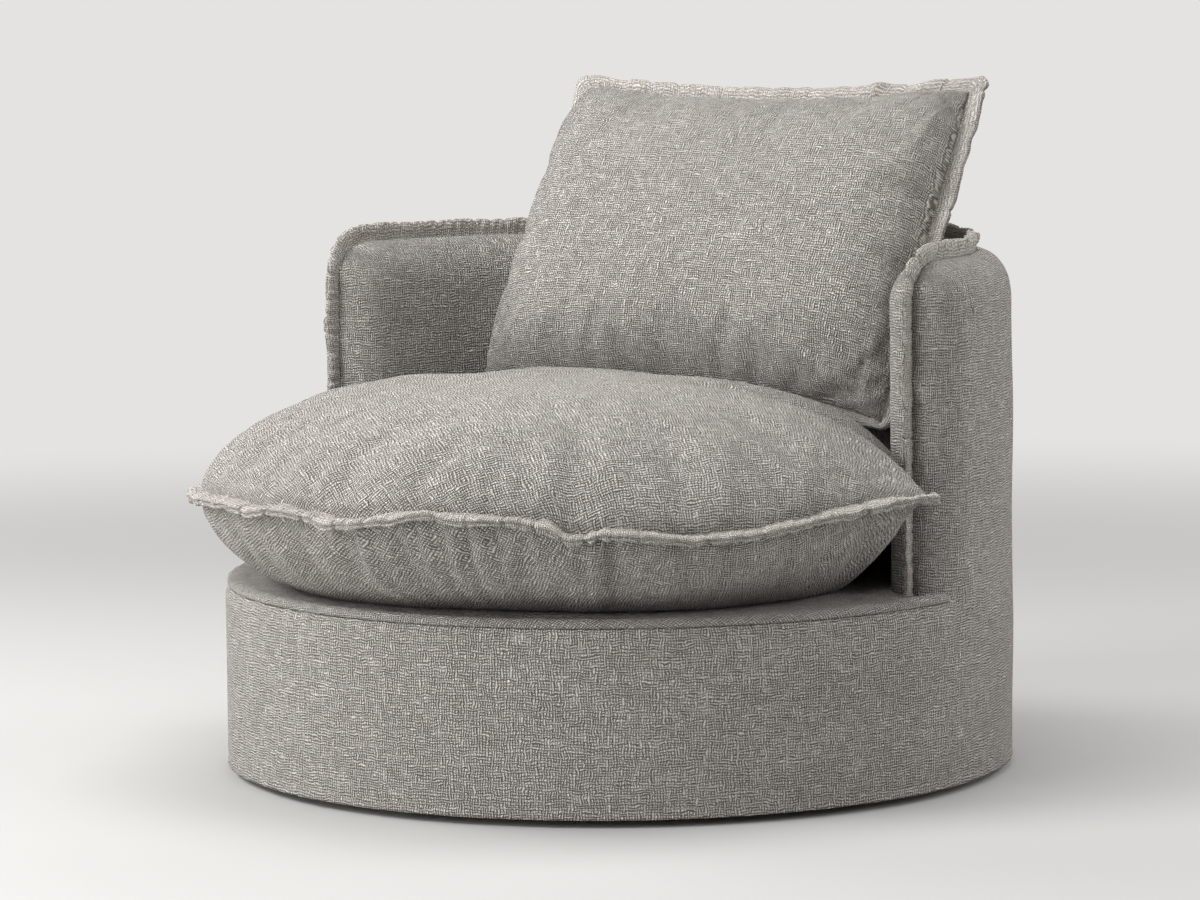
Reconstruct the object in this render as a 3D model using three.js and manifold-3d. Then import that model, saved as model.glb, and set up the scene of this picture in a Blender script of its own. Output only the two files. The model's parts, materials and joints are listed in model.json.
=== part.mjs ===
// A round swivel cuddle chair: a cloth-covered drum whose back and arms are one curved padded wall, with a
// thick loose seat cushion and a loose back cushion, standing on a hidden swivel plinth.
// Millimetres, +Z up. The seat faces -Y. The origin is on the floor, on the swivel's axis.

import * as THREE from "three";
import { mergeVertices } from "three/addons/utils/BufferGeometryUtils.js";
import Module from "manifold-3d";

const wasm = await Module();
wasm.setup();

const degree = Math.PI / 180;

// Driving dimensions of the drum and of the wall that makes its back and arms, over the cloth
const outerRadius = 527.5;
const wallThickness = 106.5;
const seamInset = 49.5; // from the wall's outside to the flanged seam along its edge
const armHeight = 684; // floor to seam
const armCornerRadius = 55;
const armEdgeRounding = 72; // how far the wall's faces curve in towards the seam
const armEndAngle = 88.7 * degree; // from the front, round to the seam of an arm's front edge
const deckHeight = 257;
const deckSeamDrop = 8;
const deckSeamInset = 11.5;
const deckLip = 26; // how wide the deck's rounded edge is
const bandLean = 24; // height over which the front band curves in to the deck's seam
const hemHeight = 10;

// Cloth, foam and the gaps between them
const clothThickness = 2.5;
const foamThickness = 27;
const padThickness = 17;
const layerGap = 0.5;
const foamGap = 1.1; // between cloth and the foam in it
const seatGap = 0.3;
const slipGap = 2;
const arcGap = 1.6; // between curved pieces whose facets differ
const cutOverrun = 30;
const flangeThickness = 5;
const armFlangeWidth = 24;
const armFlangeWave = 2;
const armFlangeWaveLength = 95;

// Timber frame
const bandPadding = 29.5; // from the drum's outside to its boards
const boardThickness = 18;
const seatRingWidth = 98;
const frameClearance = 3.7; // between the wall's foam and its frame
const studWidth = 45;
const studCount = 5;
const railThickness = 20;
const railDrop = 59; // arm seam to the top of the rail
const postSize = 45;
const postInset = 8; // from the rim of the base board to a post
const postCount = 6;
const skirtThickness = 3;
const skirtRise = 14; // hem to the foot of the skirt board

// Deck webbing, and the cloth under the base
const webWidth = 70;
const webThickness = 1.6;
const webSpacing = 170;
const longWebCount = 3;
const crossWebCount = 2;
const dustThickness = 0.8;
const dustHoleMargin = 16;

// Swivel and plinth
const glideHeight = 10;
const glideRadius = 20;
const glideCount = 4;
const glideInset = 40;
const plinthRadius = 310;
const plinthThickness = 18;
const plateSide = 190;
const plateCorner = 14;
const plateThickness = 3;
const raceRadius = 72;
const raceWidth = 22;
const raceHeight = 5;
const raceGroove = 2.4;
const ballRadius = 6.2;
const ballCount = 6;
const cageThickness = 2;
const cageWidth = 20;
const pocketGap = 0.6;
const screwInset = 17; // from the plate's edge to a screw
const screwHead = 7;
const screwHeadHeight = 4;
const screwShank = 3.4;
const screwLength = 15;
const screwClearance = 0.6;
const rivetRadius = 27;
const rivetWall = 7;
const rivetLip = 2;
const rivetClearance = 3; // between the rivet and the plates
const rivetOverhang = 4;
const runningGap = 0.8;

// Seat cushion
const cushionFrontRadius = 478; // its front seam is an arc of this radius
const cushionForward = 115; // and this far in front of the swivel's axis
const cushionClearance = 5; // between its rear flange and the wall
const cushionSide = 120; // deck to seam
const cushionCrown = 157; // seam to the top
const bellyExtra = 30; // how much deeper the underside would bulge if the deck didn't stop it
const cushionFlange = 23;
const cushionRearFlange = 8;
const earReach = 46; // the corner that bulges past the front of each arm
const earSpread = 13 * degree;
const earTurn = 5.2 * degree; // from an arm's front seam to the ear
const tuckTurn = 5.5 * degree;
const tuckEndTurn = 2.2 * degree;
const coreInset = 14;
const seamWave = 9; // how far the flanged seam wanders up and down
const seamWaves = 3.4;
const seamWaveTurn = 23 * degree;

// Zip at the back of the seat cushion
const zipDrop = 41; // cushion seam to the zip
const zipTapeWidth = 22;
const zipTapeThickness = 1.6;
const zipHalfAngle = 44 * degree;
const zipParked = 40 * degree;
const sliderLength = 12;
const sliderWidth = 9;
const sliderThickness = 3;
const pullLength = 26;

// Back cushion
const pillowLength = 476; // seam to seam
const pillowThickness = 186;
const pillowPull = 22; // how far its top and bottom draw in between the corners
const pillowFlange = 25;
const pillowLean = 29.4 * degree; // back from upright
const pillowSetForward = 281; // from the wall's inside at the back to the cushion's bottom seam
const pillowSink = 60; // how deep its bottom seam sits below the seat's crown
const pillowClearance = 10; // between its side flanges and the wall
const dipExtra = 39; // how much further down the seat is pressed, for the flange
const dipSetBack = 22;
const dipFrontWidth = 68;
const dipRearWidth = 130;

// Shapes of rounded pads: the thickness falls to the seam as (1 - s ** power) ** (1 / root)
const wallPower = 2.4;
const wallRoot = 2.2;
const crownPower = 3.2;
const crownRoot = 2.2;
const bellyPower = 4;
const bellyRoot = 2;
const pillowSidePower = 5; // across the front of the back cushion, which stands out more towards its sides
const pillowSideRoot = 2.6;

// Materials, as colours under plain light
const cloth = new THREE.MeshStandardMaterial({ color: 0xaaa39b, roughness: 0.95, metalness: 0 });
const foam = new THREE.MeshStandardMaterial({ color: 0xe6dfc8, roughness: 1, metalness: 0 });
const timber = new THREE.MeshStandardMaterial({ color: 0xc9a574, roughness: 0.7, metalness: 0 });
const webbing = new THREE.MeshStandardMaterial({ color: 0x4a453e, roughness: 0.9, metalness: 0 });
const dustCloth = new THREE.MeshStandardMaterial({ color: 0x1c1c1e, roughness: 0.95, metalness: 0 });
const steel = new THREE.MeshStandardMaterial({ color: 0xa8abad, roughness: 0.4, metalness: 1 });
const nylon = new THREE.MeshStandardMaterial({ color: 0x2b2b2c, roughness: 0.5, metalness: 0 });

// Radii worked out from the driving dimensions
const seamRadius = outerRadius - seamInset;
const innerRadius = outerRadius - wallThickness;
const innerHalf = seamRadius - innerRadius;
const deckSeamRadius = outerRadius - deckSeamInset;
const deckLipRadius = deckSeamRadius - deckLip;
const frameRadius = outerRadius - bandPadding;
const seatRingInner = frameRadius - seatRingWidth;
const foamInset = clothThickness + foamGap;
const frameInset = foamInset + foamThickness;
const frameMiddle = seamRadius + (seamInset - innerHalf) / 2;
const frameHalf = wallThickness / 2 - frameInset - frameClearance;

// Levels worked out from the driving dimensions, from the floor up and from the deck down
const plinthBottom = glideHeight + seatGap;
const plinthTop = plinthBottom + plinthThickness;
const lowerPlate = plinthTop + seatGap;
const ballRise = ((ballRadius + seatGap) * Math.hypot(ballRadius, raceGroove)) / ballRadius;
const ballCentre = lowerPlate + plateThickness + raceHeight - raceGroove + ballRise;
const upperPlate = ballCentre + ballRise - raceGroove + raceHeight;
const baseBoardBottom = upperPlate + plateThickness + seatGap;
const baseBoardTop = baseBoardBottom + boardThickness;
const deckUnder = deckHeight - clothThickness;
const padTop = deckUnder - layerGap;
const padBottom = padTop - padThickness;
const crossWebBottom = padBottom - seatGap - webThickness;
const longWebBottom = crossWebBottom - seatGap - webThickness;
const seatRingTop = longWebBottom - seatGap;
const seatRingBottom = seatRingTop - boardThickness;
const railTop = armHeight - railDrop;
const railBottom = railTop - railThickness;
const skirtFoot = hemHeight + skirtRise;
const deckSeamHeight = deckHeight - deckSeamDrop;
const bandLeanStart = deckSeamHeight - bandLean;
const cushionSeam = deckHeight + cushionSide;
const cushionTopLevel = cushionSeam + cushionCrown;
const pillowFoot = innerRadius - pillowSetForward;

// Makes a point from a radius, an angle from the front (turning towards +X) and a height.
function at(radius, angle, height) {
  return new THREE.Vector3(radius * Math.sin(angle), -radius * Math.cos(angle), height);
}

function smooth(low, high, value) {
  const t = Math.min(1, Math.max(0, (value - low) / (high - low)));
  return t * t * (3 - 2 * t);
}

function fall(share, power, root) {
  return (1 - Math.min(1, Math.abs(share)) ** power) ** (1 / root);
}

function count(number) {
  return [...Array(number).keys()];
}

// A geometry from triangles, facing out, without those that have no area where a grid meets its pole.
function closedMesh(triangles) {
  const flat = [];
  let volume = 0;
  for (const [a, b, c] of triangles) {
    if (!a.equals(b) && !b.equals(c) && !c.equals(a)) {
      flat.push(a, b, c);
      volume += a.dot(b.clone().cross(c));
    }
  }
  if (volume < 0) flat.reverse();
  return new THREE.BufferGeometry().setFromPoints(flat);
}

// A closed solid between two grids of points, each a list of columns.
// A round one joins its last column to its first.
function slab(outer, inner, round = false) {
  const triangles = [];
  const quad = (a, b, c, d) => triangles.push([a, b, c], [a, c, d]);
  const last = outer[0].length - 1;
  const spans = round ? outer.length : outer.length - 1;
  for (const i of count(spans)) {
    const n = (i + 1) % outer.length;
    for (const j of count(last)) {
      quad(outer[i][j], outer[n][j], outer[n][j + 1], outer[i][j + 1]);
      quad(inner[i][j], inner[i][j + 1], inner[n][j + 1], inner[n][j]);
    }
    quad(outer[i][0], inner[i][0], inner[n][0], outer[n][0]);
    quad(outer[i][last], outer[n][last], inner[n][last], inner[i][last]);
  }
  if (!round) {
    const end = outer.length - 1;
    for (const j of count(last)) {
      quad(outer[0][j], outer[0][j + 1], inner[0][j + 1], inner[0][j]);
      quad(outer[end][j], inner[end][j], inner[end][j + 1], outer[end][j + 1]);
    }
  }
  return closedMesh(triangles);
}

function solidOf(geometry) {
  const plain = new THREE.BufferGeometry();
  const source = geometry.index ? geometry.toNonIndexed() : geometry;
  plain.setAttribute("position", source.getAttribute("position"));
  const merged = mergeVertices(plain);
  return new wasm.Manifold(
    new wasm.Mesh({
      numProp: 3,
      vertProperties: merged.getAttribute("position").array,
      triVerts: new Uint32Array(merged.index.array),
    }),
  );
}

function geometryOf(solid) {
  const mesh = solid.getMesh();
  const geometry = new THREE.BufferGeometry();
  geometry.setAttribute("position", new THREE.BufferAttribute(mesh.vertProperties, 3));
  geometry.setIndex(new THREE.BufferAttribute(mesh.triVerts, 1));
  return geometry;
}

function cut(geometry, ...tools) {
  return geometryOf(tools.reduce((solid, tool) => solid.subtract(solidOf(tool)), solidOf(geometry)));
}

function join(geometry, ...others) {
  return geometryOf(others.reduce((solid, other) => solid.add(solidOf(other)), solidOf(geometry)));
}

// A solid turned about the Z axis from an outline of [radius, height] points.
// The outline starts and ends on the axis, or closes on itself when it is a ring's.
function turned(outline, sides, ring = true) {
  const columns = count(sides).map((i) => (i / sides) * 2 * Math.PI);
  const points = ring ? [...outline, outline[0]] : outline;
  const triangles = [];
  columns.forEach((angle, i) => {
    const next = columns[(i + 1) % sides];
    for (const j of count(points.length - 1)) {
      const [low, high] = [points[j], points[j + 1]];
      const [a, b] = [at(low[0], angle, low[1]), at(low[0], next, low[1])];
      const [c, d] = [at(high[0], next, high[1]), at(high[0], angle, high[1])];
      triangles.push([a, b, c], [a, c, d]);
    }
  });
  return closedMesh(triangles);
}

function ringOutline(inside, outside, bottom, top) {
  return [
    [inside, bottom],
    [outside, bottom],
    [outside, top],
    [inside, top],
  ];
}

function disc(radius, bottom, top, sides = 40) {
  return new THREE.CylinderGeometry(radius, radius, top - bottom, sides)
    .rotateX(Math.PI / 2)
    .translate(0, 0, (bottom + top) / 2);
}

// A curved bar between two radii and two angles.
function arcBar(inside, outside, from, to, bottom, top, step) {
  const steps = Math.ceil((to - from) / step);
  const side = (radius) =>
    count(steps + 1).map((i) => {
      const angle = from + ((to - from) * i) / steps;
      return [at(radius, angle, bottom), at(radius, angle, top)];
    });
  return slab(side(outside), side(inside));
}

const chair = new THREE.Group();

function add(name, geometry, material) {
  const mesh = new THREE.Mesh(geometry, material);
  mesh.name = name;
  chair.add(mesh);
}

// The padded wall. Its columns stand along the seam's arc, closer together at an arm's rounded front edge.
const wallLength = 2 * (Math.PI - armEndAngle) * seamRadius;
const endColumnShares = [0, 0.04, 0.13, 0.27, 0.46, 0.7, 1];
const rowShares = [0, 0.03, 0.12, 0.3, 0.6, 1];
const coarseRowShares = [0, 0.3, 0.6, 1];
const wallStepCount = 20;
const bandStepCount = 28;
const leanStepCount = 2;
const deckSideCount = 48;
const lipStepCount = 3;

function wallPlaces(inset) {
  const near = endColumnShares.map((share) => inset + share * (armEdgeRounding - inset));
  const step = (wallLength - 2 * armEdgeRounding) / wallStepCount;
  const middle = count(wallStepCount - 1).map((i) => armEdgeRounding + step * (i + 1));
  return [...near, ...middle, ...near.map((along) => wallLength - along).reverse()];
}

// How far a place on the wall lies inside its outline, which is set in from the seam.
function edgeDistance(along, height, inset) {
  const side = Math.min(along, wallLength - along) - inset;
  const top = armHeight - inset - height;
  if (side >= armCornerRadius || top >= armCornerRadius) return Math.min(side, top);
  return armCornerRadius - Math.hypot(armCornerRadius - side, armCornerRadius - top);
}

function wallTop(along, inset) {
  const side = Math.max(0, Math.min(along, wallLength - along) - inset);
  const short = Math.max(0, armCornerRadius - side);
  return armHeight - inset - armCornerRadius + Math.sqrt(armCornerRadius ** 2 - short ** 2);
}

// How far a face stands out from the seam at some depth inside the wall's outline.
function bulge(half, depth, rounding) {
  const share = Math.min(1, Math.max(0, depth) / rounding);
  return half * fall(1 - share, wallPower, wallRoot);
}

// One face of the wall, set in from the cloth's outside. The side is 1 outside and -1 inside.
function wallFace(side, inset, shares = rowShares) {
  const half = (side > 0 ? seamInset : innerHalf) - inset;
  const rounding = armEdgeRounding - inset;
  return wallPlaces(inset).map((along) => {
    const top = wallTop(along, inset);
    const heights = [...shares.map((share) => top - share * rounding), padBottom];
    return heights.map((height) => {
      const out = layerGap + bulge(half, edgeDistance(along, height, inset), rounding);
      return at(seamRadius + side * out, armEndAngle + along / seamRadius, height);
    });
  });
}

function innerCover() {
  return slab(wallFace(-1, 0), wallFace(-1, clothThickness));
}

// The band round the drum, flush with the wall behind and leaning in to the deck's seam in front.
function baseBand() {
  const front = count(bandStepCount - 1).map((i) => armEndAngle * ((2 * (i + 1)) / bandStepCount - 1));
  const behind = wallPlaces(0).map((along) => armEndAngle + along / seamRadius);
  const sheet = (inset) =>
    [...front, ...behind].map((angle) => {
      const depth = (Math.min(Math.abs(angle), 2 * Math.PI - angle) - armEndAngle) * seamRadius;
      const lean = Math.min(deckSeamInset, seamInset - bulge(seamInset, depth, armEdgeRounding));
      const rise = (lean > 0 ? deckSeamHeight : deckHeight) - bandLeanStart;
      const radius = outerRadius + layerGap - inset;
      const curve = count(leanStepCount + 1).map((i) => {
        const turn = ((i / leanStepCount) * Math.PI) / 2;
        return at(radius - lean * (1 - Math.cos(turn)), angle, bandLeanStart + rise * Math.sin(turn));
      });
      return [at(radius, angle, hemHeight), ...curve];
    });
  return slab(sheet(0), sheet(clothThickness), true);
}

function outerCover() {
  return join(slab(wallFace(1, 0), wallFace(1, clothThickness)), baseBand());
}

// One piece of foam goes over the wall's frame: down its outside, over the edge and down its inside.
function wallFoam() {
  const sheet = (inset) => {
    const inside = wallFace(-1, inset, coarseRowShares);
    return wallFace(1, inset, coarseRowShares).map((column, i) => [...column.reverse(), ...inside[i]]);
  };
  return slab(sheet(foamInset), sheet(frameInset));
}

// What the wall takes out of the deck: its footprint and a clearance.
function wallCutter(clearance) {
  const places = wallPlaces(0);
  const last = places.length - 1;
  const face = (side, half) =>
    places.map((along, i) => {
      const depth = Math.min(along, wallLength - along);
      const radius = seamRadius + side * (layerGap + bulge(half, depth, armEdgeRounding) + clearance);
      const shift = i === 0 ? -clearance : i === last ? clearance : 0;
      const angle = armEndAngle + (along + shift) / seamRadius;
      return [at(radius, angle, padBottom - cutOverrun), at(radius, angle, deckHeight + cutOverrun)];
    });
  return slab(face(1, seamInset), face(-1, innerHalf));
}

// The deck's rounded edge, set in from the cloth's outside, from the flat down to the seam.
function lipOutline(inset, slip = 0) {
  const level = deckSeamHeight + seatGap;
  return count(lipStepCount + 1).map((i) => {
    const turn = ((i / lipStepCount) * Math.PI) / 2;
    const reach = deckLip - inset - slip;
    return [deckLipRadius + reach * Math.sin(turn), level + (deckHeight - level - inset) * Math.cos(turn)];
  });
}

function deckCover() {
  const under = lipOutline(clothThickness).reverse();
  const outline = [[0, deckHeight], ...lipOutline(0), ...under, [0, deckUnder]];
  return cut(turned(outline, deckSideCount, false), wallCutter(seatGap));
}

function deckPad() {
  const top = lipOutline(foamInset, slipGap);
  const rim = top[top.length - 1][0];
  const outline = [[0, padTop], ...top, [rim, padBottom], [0, padBottom]];
  return cut(turned(outline, deckSideCount, false), wallCutter(seatGap + layerGap));
}

// The wall's flange stands out from the seam, up each arm's front, round its corner and along the top.
const flangeFrontStepCount = 5;
const flangeCornerStepCount = 8;
const flangeTopStepCount = 18;

function flangePath() {
  const straight = armHeight - armCornerRadius;
  const foot = deckHeight + seatGap;
  const front = count(flangeFrontStepCount).map((i) => {
    return { along: 0, height: foot + ((straight - foot) * i) / flangeFrontStepCount, out: [-1, 0] };
  });
  const corner = count(flangeCornerStepCount + 1).map((i) => {
    const turn = ((i / flangeCornerStepCount) * Math.PI) / 2;
    const out = [-Math.cos(turn), Math.sin(turn)];
    return {
      along: armCornerRadius * (1 + out[0]),
      height: straight + armCornerRadius * out[1],
      out,
    };
  });
  const step = (wallLength - 2 * armCornerRadius) / flangeTopStepCount;
  const top = count(flangeTopStepCount - 1).map((i) => {
    return { along: armCornerRadius + step * (i + 1), height: armHeight, out: [0, 1] };
  });
  const start = [...front, ...corner];
  const end = [...start].reverse().map(({ along, height, out }) => {
    return { along: wallLength - along, height, out: [-out[0], out[1]] };
  });
  return [...start, ...top, ...end];
}

function wallFlange() {
  const path = flangePath();
  const sheet = (side) =>
    path.map(({ along, height, out }) => {
      const wave = armFlangeWave * Math.sin((2 * Math.PI * (along + height)) / armFlangeWaveLength);
      return [seatGap, armFlangeWidth].map((reach, edge) => {
        const radius = seamRadius + (side * flangeThickness) / 2 + edge * wave;
        const angle = armEndAngle + (along + reach * out[0]) / seamRadius;
        return at(radius, angle, height + (reach + edge * wave) * out[1]);
      });
    });
  return slab(sheet(1), sheet(-1));
}

add("outer_cover", outerCover(), cloth);
add("inner_cover", innerCover(), cloth);
add("arm_flange", wallFlange(), cloth);
add("deck_cover", deckCover(), cloth);
add("deck_pad", deckPad(), foam);
add("wall_foam", wallFoam(), foam);

// The drum's base: two boards held apart by posts, with a bent skirt board and foam round them
const skirtInside = frameRadius + seatGap;
const skirtOutside = skirtInside + skirtThickness;
const bandFoamOutside = outerRadius - clothThickness - arcGap;
const bandFoam = ringOutline(skirtOutside + arcGap, bandFoamOutside, skirtFoot, bandLeanStart - slipGap);

function basePost(angle) {
  const low = baseBoardTop + seatGap;
  const high = seatRingBottom - seatGap;
  const radius = frameRadius - postInset - postSize / 2;
  return new THREE.BoxGeometry(postSize, postSize, high - low)
    .rotateZ(angle)
    .translate(...at(radius, angle, (low + high) / 2));
}

add("base_foam", turned(bandFoam, deckSideCount), foam);
add("seat_ring", turned(ringOutline(seatRingInner, frameRadius, seatRingBottom, seatRingTop), 40), timber);
add("skirt_board", turned(ringOutline(skirtInside, skirtOutside, skirtFoot, seatRingTop), 40), timber);
for (const i of count(postCount)) {
  add(`base_post_${i + 1}`, basePost(((i + 0.5) / postCount) * 2 * Math.PI), timber);
}

// The wall's frame: studs on the seat ring and a bent rail on top of them
const railEnd = armEndAngle + (frameInset + armCornerRadius) / seamRadius;
const railStep = 6 * degree;

function topRail() {
  const [inside, outside] = [frameMiddle - frameHalf, frameMiddle + frameHalf];
  return arcBar(inside, outside, railEnd, 2 * Math.PI - railEnd, railBottom, railTop, railStep);
}

function wallStud(angle) {
  const low = seatRingTop + seatGap;
  const high = railBottom - seatGap;
  return new THREE.BoxGeometry(studWidth, 2 * frameHalf - slipGap, high - low)
    .rotateZ(angle)
    .translate(...at(frameMiddle, angle, (low + high) / 2));
}

add("top_rail", topRail(), timber);
for (const i of count(studCount)) {
  const first = railEnd + studWidth / seamRadius;
  const share = i / (studCount - 1);
  add(`wall_stud_${i + 1}`, wallStud(first + 2 * (Math.PI - first) * share), timber);
}

// Straps across the seat ring's hole, ending inside the circle of the studs
function strap(offset, bottom) {
  const circle = frameMiddle - frameHalf - slipGap;
  const half = Math.sqrt(circle ** 2 - (Math.abs(offset) + webWidth / 2) ** 2);
  const middle = bottom + webThickness / 2;
  return new THREE.BoxGeometry(webWidth, 2 * half, webThickness).translate(offset, 0, middle);
}

for (const i of count(longWebCount)) {
  add(`long_web_${i + 1}`, strap((i - (longWebCount - 1) / 2) * webSpacing, longWebBottom), webbing);
}
for (const i of count(crossWebCount)) {
  const offset = (i - (crossWebCount - 1) / 2) * webSpacing;
  add(`cross_web_${i + 1}`, strap(offset, crossWebBottom).rotateZ(Math.PI / 2), webbing);
}

// Swivel: two pressed plates with a grooved race each, balls in a cage between them, and a tubular rivet
const plateHole = rivetRadius + rivetClearance;
const rivetHead = plateHole + rivetOverhang;
const screwHole = screwShank + screwClearance;

function screwPlaces() {
  const reach = plateSide / 2 - screwInset;
  return [
    [reach, reach],
    [-reach, reach],
    [-reach, -reach],
    [reach, -reach],
  ];
}

function plate(bottom) {
  const half = plateSide / 2;
  const inner = half - plateCorner;
  const shape = new THREE.Shape();
  const corners = [
    [inner, inner],
    [-inner, inner],
    [-inner, -inner],
    [inner, -inner],
  ];
  corners.forEach(([x, y], i) => {
    shape.absarc(x, y, plateCorner, (i * Math.PI) / 2, ((i + 1) * Math.PI) / 2, false);
  });
  const holes = [[0, 0, plateHole], ...screwPlaces().map(([x, y]) => [x, y, screwHole])];
  for (const [x, y, radius] of holes) {
    shape.holes.push(new THREE.Path().absarc(x, y, radius, 0, 2 * Math.PI, true));
  }
  const form = { depth: plateThickness, bevelEnabled: false, curveSegments: 4 };
  return new THREE.ExtrudeGeometry(shape, form).translate(0, 0, bottom);
}

// A race with its groove towards the balls. It faces up where up is 1, and down where it is -1.
function race(foot, up) {
  const half = raceWidth / 2;
  const face = foot + up * raceHeight;
  const outline = [
    [raceRadius - half, foot - up * seatGap],
    [raceRadius + half, foot - up * seatGap],
    [raceRadius + half, face],
    [raceRadius + ballRadius, face],
    [raceRadius, face - up * raceGroove],
    [raceRadius - ballRadius, face],
    [raceRadius - half, face],
  ];
  return turned(outline, 24);
}

function ballPlace(i) {
  return at(raceRadius, (i / ballCount) * 2 * Math.PI, ballCentre);
}

function ballCage() {
  const [inside, outside] = [raceRadius - cageWidth / 2, raceRadius + cageWidth / 2];
  const half = cageThickness / 2;
  const ring = turned(ringOutline(inside, outside, ballCentre - half, ballCentre + half), 24);
  const pocket = ballRadius + pocketGap;
  const pockets = count(ballCount).map((i) => {
    return disc(pocket, -cutOverrun, cutOverrun, 8).translate(...ballPlace(i));
  });
  return cut(ring, ...pockets);
}

function rivet() {
  const bottom = lowerPlate - seatGap;
  const top = upperPlate + plateThickness + runningGap;
  const bore = rivetRadius - rivetWall;
  const outline = [
    [bore, bottom - rivetLip],
    [rivetHead, bottom - rivetLip],
    [rivetHead, bottom],
    [rivetRadius, bottom],
    [rivetRadius, top],
    [rivetHead, top],
    [rivetHead, top + rivetLip],
    [bore, top + rivetLip],
  ];
  return turned(outline, 16);
}

// A wood screw whose head bears on a face. Its shank points up where into is 1, and down where it is -1.
function screw(face, into) {
  const head = face - into * seatGap;
  const outline = [
    [0, head - into * screwHeadHeight],
    [screwHead, head - into * screwHeadHeight],
    [screwHead, head],
    [screwShank, head],
    [screwShank, head + into * screwLength],
    [0, head + into * screwLength],
  ];
  return turned(outline, 6, false);
}

function pilotHoles(face, into) {
  const far = face + into * (screwLength + slipGap);
  const holes = screwPlaces().map(([x, y]) => {
    return disc(screwShank + seatGap, Math.min(face, far), Math.max(face, far), 8).translate(x, y, 0);
  });
  return holes;
}

const lowerScrewFace = lowerPlate + plateThickness;
const headRecess = rivetHead + slipGap;

// The rivet's heads are let into the two boards that the plates are screwed to.
function plinthBoard() {
  const recess = disc(headRecess, plinthTop - rivetLip - slipGap, plinthTop + cutOverrun, 24);
  return cut(disc(plinthRadius, plinthBottom, plinthTop), recess, ...pilotHoles(lowerScrewFace, -1));
}

function baseBoard() {
  const depth = runningGap + rivetLip + slipGap;
  const recess = disc(headRecess, baseBoardBottom - cutOverrun, baseBoardBottom + depth, 24);
  return cut(disc(frameRadius, baseBoardBottom, baseBoardTop), recess, ...pilotHoles(upperPlate, 1));
}

add("base_board", baseBoard(), timber);
add("plinth_board", plinthBoard(), timber);
add("lower_swivel_plate", join(plate(lowerPlate), race(lowerScrewFace, 1)), steel);
add("upper_swivel_plate", join(plate(upperPlate), race(upperPlate, -1)), steel);
add("swivel_rivet", rivet(), steel);
add("ball_cage", ballCage(), nylon);
for (const i of count(ballCount)) {
  const ball = new THREE.SphereGeometry(ballRadius, 6, 4).rotateX(Math.PI / 2);
  add(`bearing_ball_${i + 1}`, ball.translate(...ballPlace(i)), steel);
}
screwPlaces().forEach(([x, y], i) => {
  add(`lower_screw_${i + 1}`, screw(lowerScrewFace, -1).translate(x, y, 0), steel);
  add(`upper_screw_${i + 1}`, screw(upperPlate, 1).translate(x, y, 0), steel);
});

const dustHole = Math.hypot(plateSide, plateSide) / 2 + dustHoleMargin;
const dustTop = baseBoardBottom - seatGap;
const dustOutline = ringOutline(dustHole, frameRadius - slipGap, dustTop - dustThickness, dustTop);
add("dust_cover", turned(dustOutline, 32), dustCloth);

add("glide_centre", disc(glideRadius, 0, glideHeight, 12), nylon);
for (const i of count(glideCount)) {
  const place = at(plinthRadius - glideInset, ((i + 0.5) / glideCount) * 2 * Math.PI, 0);
  add(`glide_${i + 1}`, disc(glideRadius, 0, glideHeight, 12).translate(...place), nylon);
}

// Seat cushion. Its outline is an arc in front, an ear before each arm, and a circle between the arms.
const cushionRearRadius = innerRadius - cushionClearance - cushionRearFlange;
const earAngle = armEndAngle - earTurn;
const tuckStart = armEndAngle - tuckTurn;
const tuckEnd = armEndAngle - tuckEndTurn;
const frontAngleShares = [0, 0.17, 0.34, 0.5, 0.65, 0.77, 0.86, 0.93, 0.975];
const tuckAngleShares = [0, 0.3, 0.6, 1];
const rearAngleShares = [0.05, 0.17, 0.31, 0.45, 0.59, 0.73, 0.87];
const halfAngles = [
  ...frontAngleShares.map((share) => earAngle * share),
  ...tuckAngleShares.map((share) => earAngle + (tuckEnd - earAngle) * share),
  ...rearAngleShares.map((share) => tuckEnd + (Math.PI - tuckEnd) * share),
];
const otherHalf = halfAngles.slice(1).map((angle) => -angle);
const cushionAngles = [...halfAngles, Math.PI, ...otherHalf.reverse()];

function cushionReach(angle) {
  const away = Math.abs(angle);
  const sideways = cushionForward * Math.sin(away);
  const front = cushionForward * Math.cos(away) + Math.sqrt(cushionFrontRadius ** 2 - sideways ** 2);
  const ear = earReach * Math.exp(-(((away - earAngle) / earSpread) ** 2));
  const tuck = smooth(tuckStart, tuckEnd, away);
  return (front + ear) * (1 - tuck) + cushionRearRadius * tuck;
}

function flangeReach(angle) {
  const tuck = smooth(tuckStart - tuckTurn / 2, tuckEnd, Math.abs(angle));
  return cushionFlange * (1 - tuck) + cushionRearFlange * tuck;
}

function seamHeight(angle) {
  const front = Math.max(0, Math.cos(angle));
  return cushionSeam + seamWave * front * Math.sin(seamWaves * angle + seamWaveTurn);
}

// The dent that the back cushion presses into the rear of the seat.
const dipPlace = pillowFoot + dipSetBack;

function dip(y) {
  const width = y < dipPlace ? dipFrontWidth : dipRearWidth;
  return (pillowSink + dipExtra) * Math.exp(-(((y - dipPlace) / width) ** 2));
}

function cushionTop(share, angle, inset, lift) {
  const spot = at(share * (cushionReach(angle) - inset), angle, 0);
  const full = fall(share, crownPower, crownRoot);
  const seam = seamHeight(angle) * share + cushionSeam * (1 - share);
  spot.z = seam + lift + (cushionCrown - inset - dip(spot.y)) * full;
  return spot;
}

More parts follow.
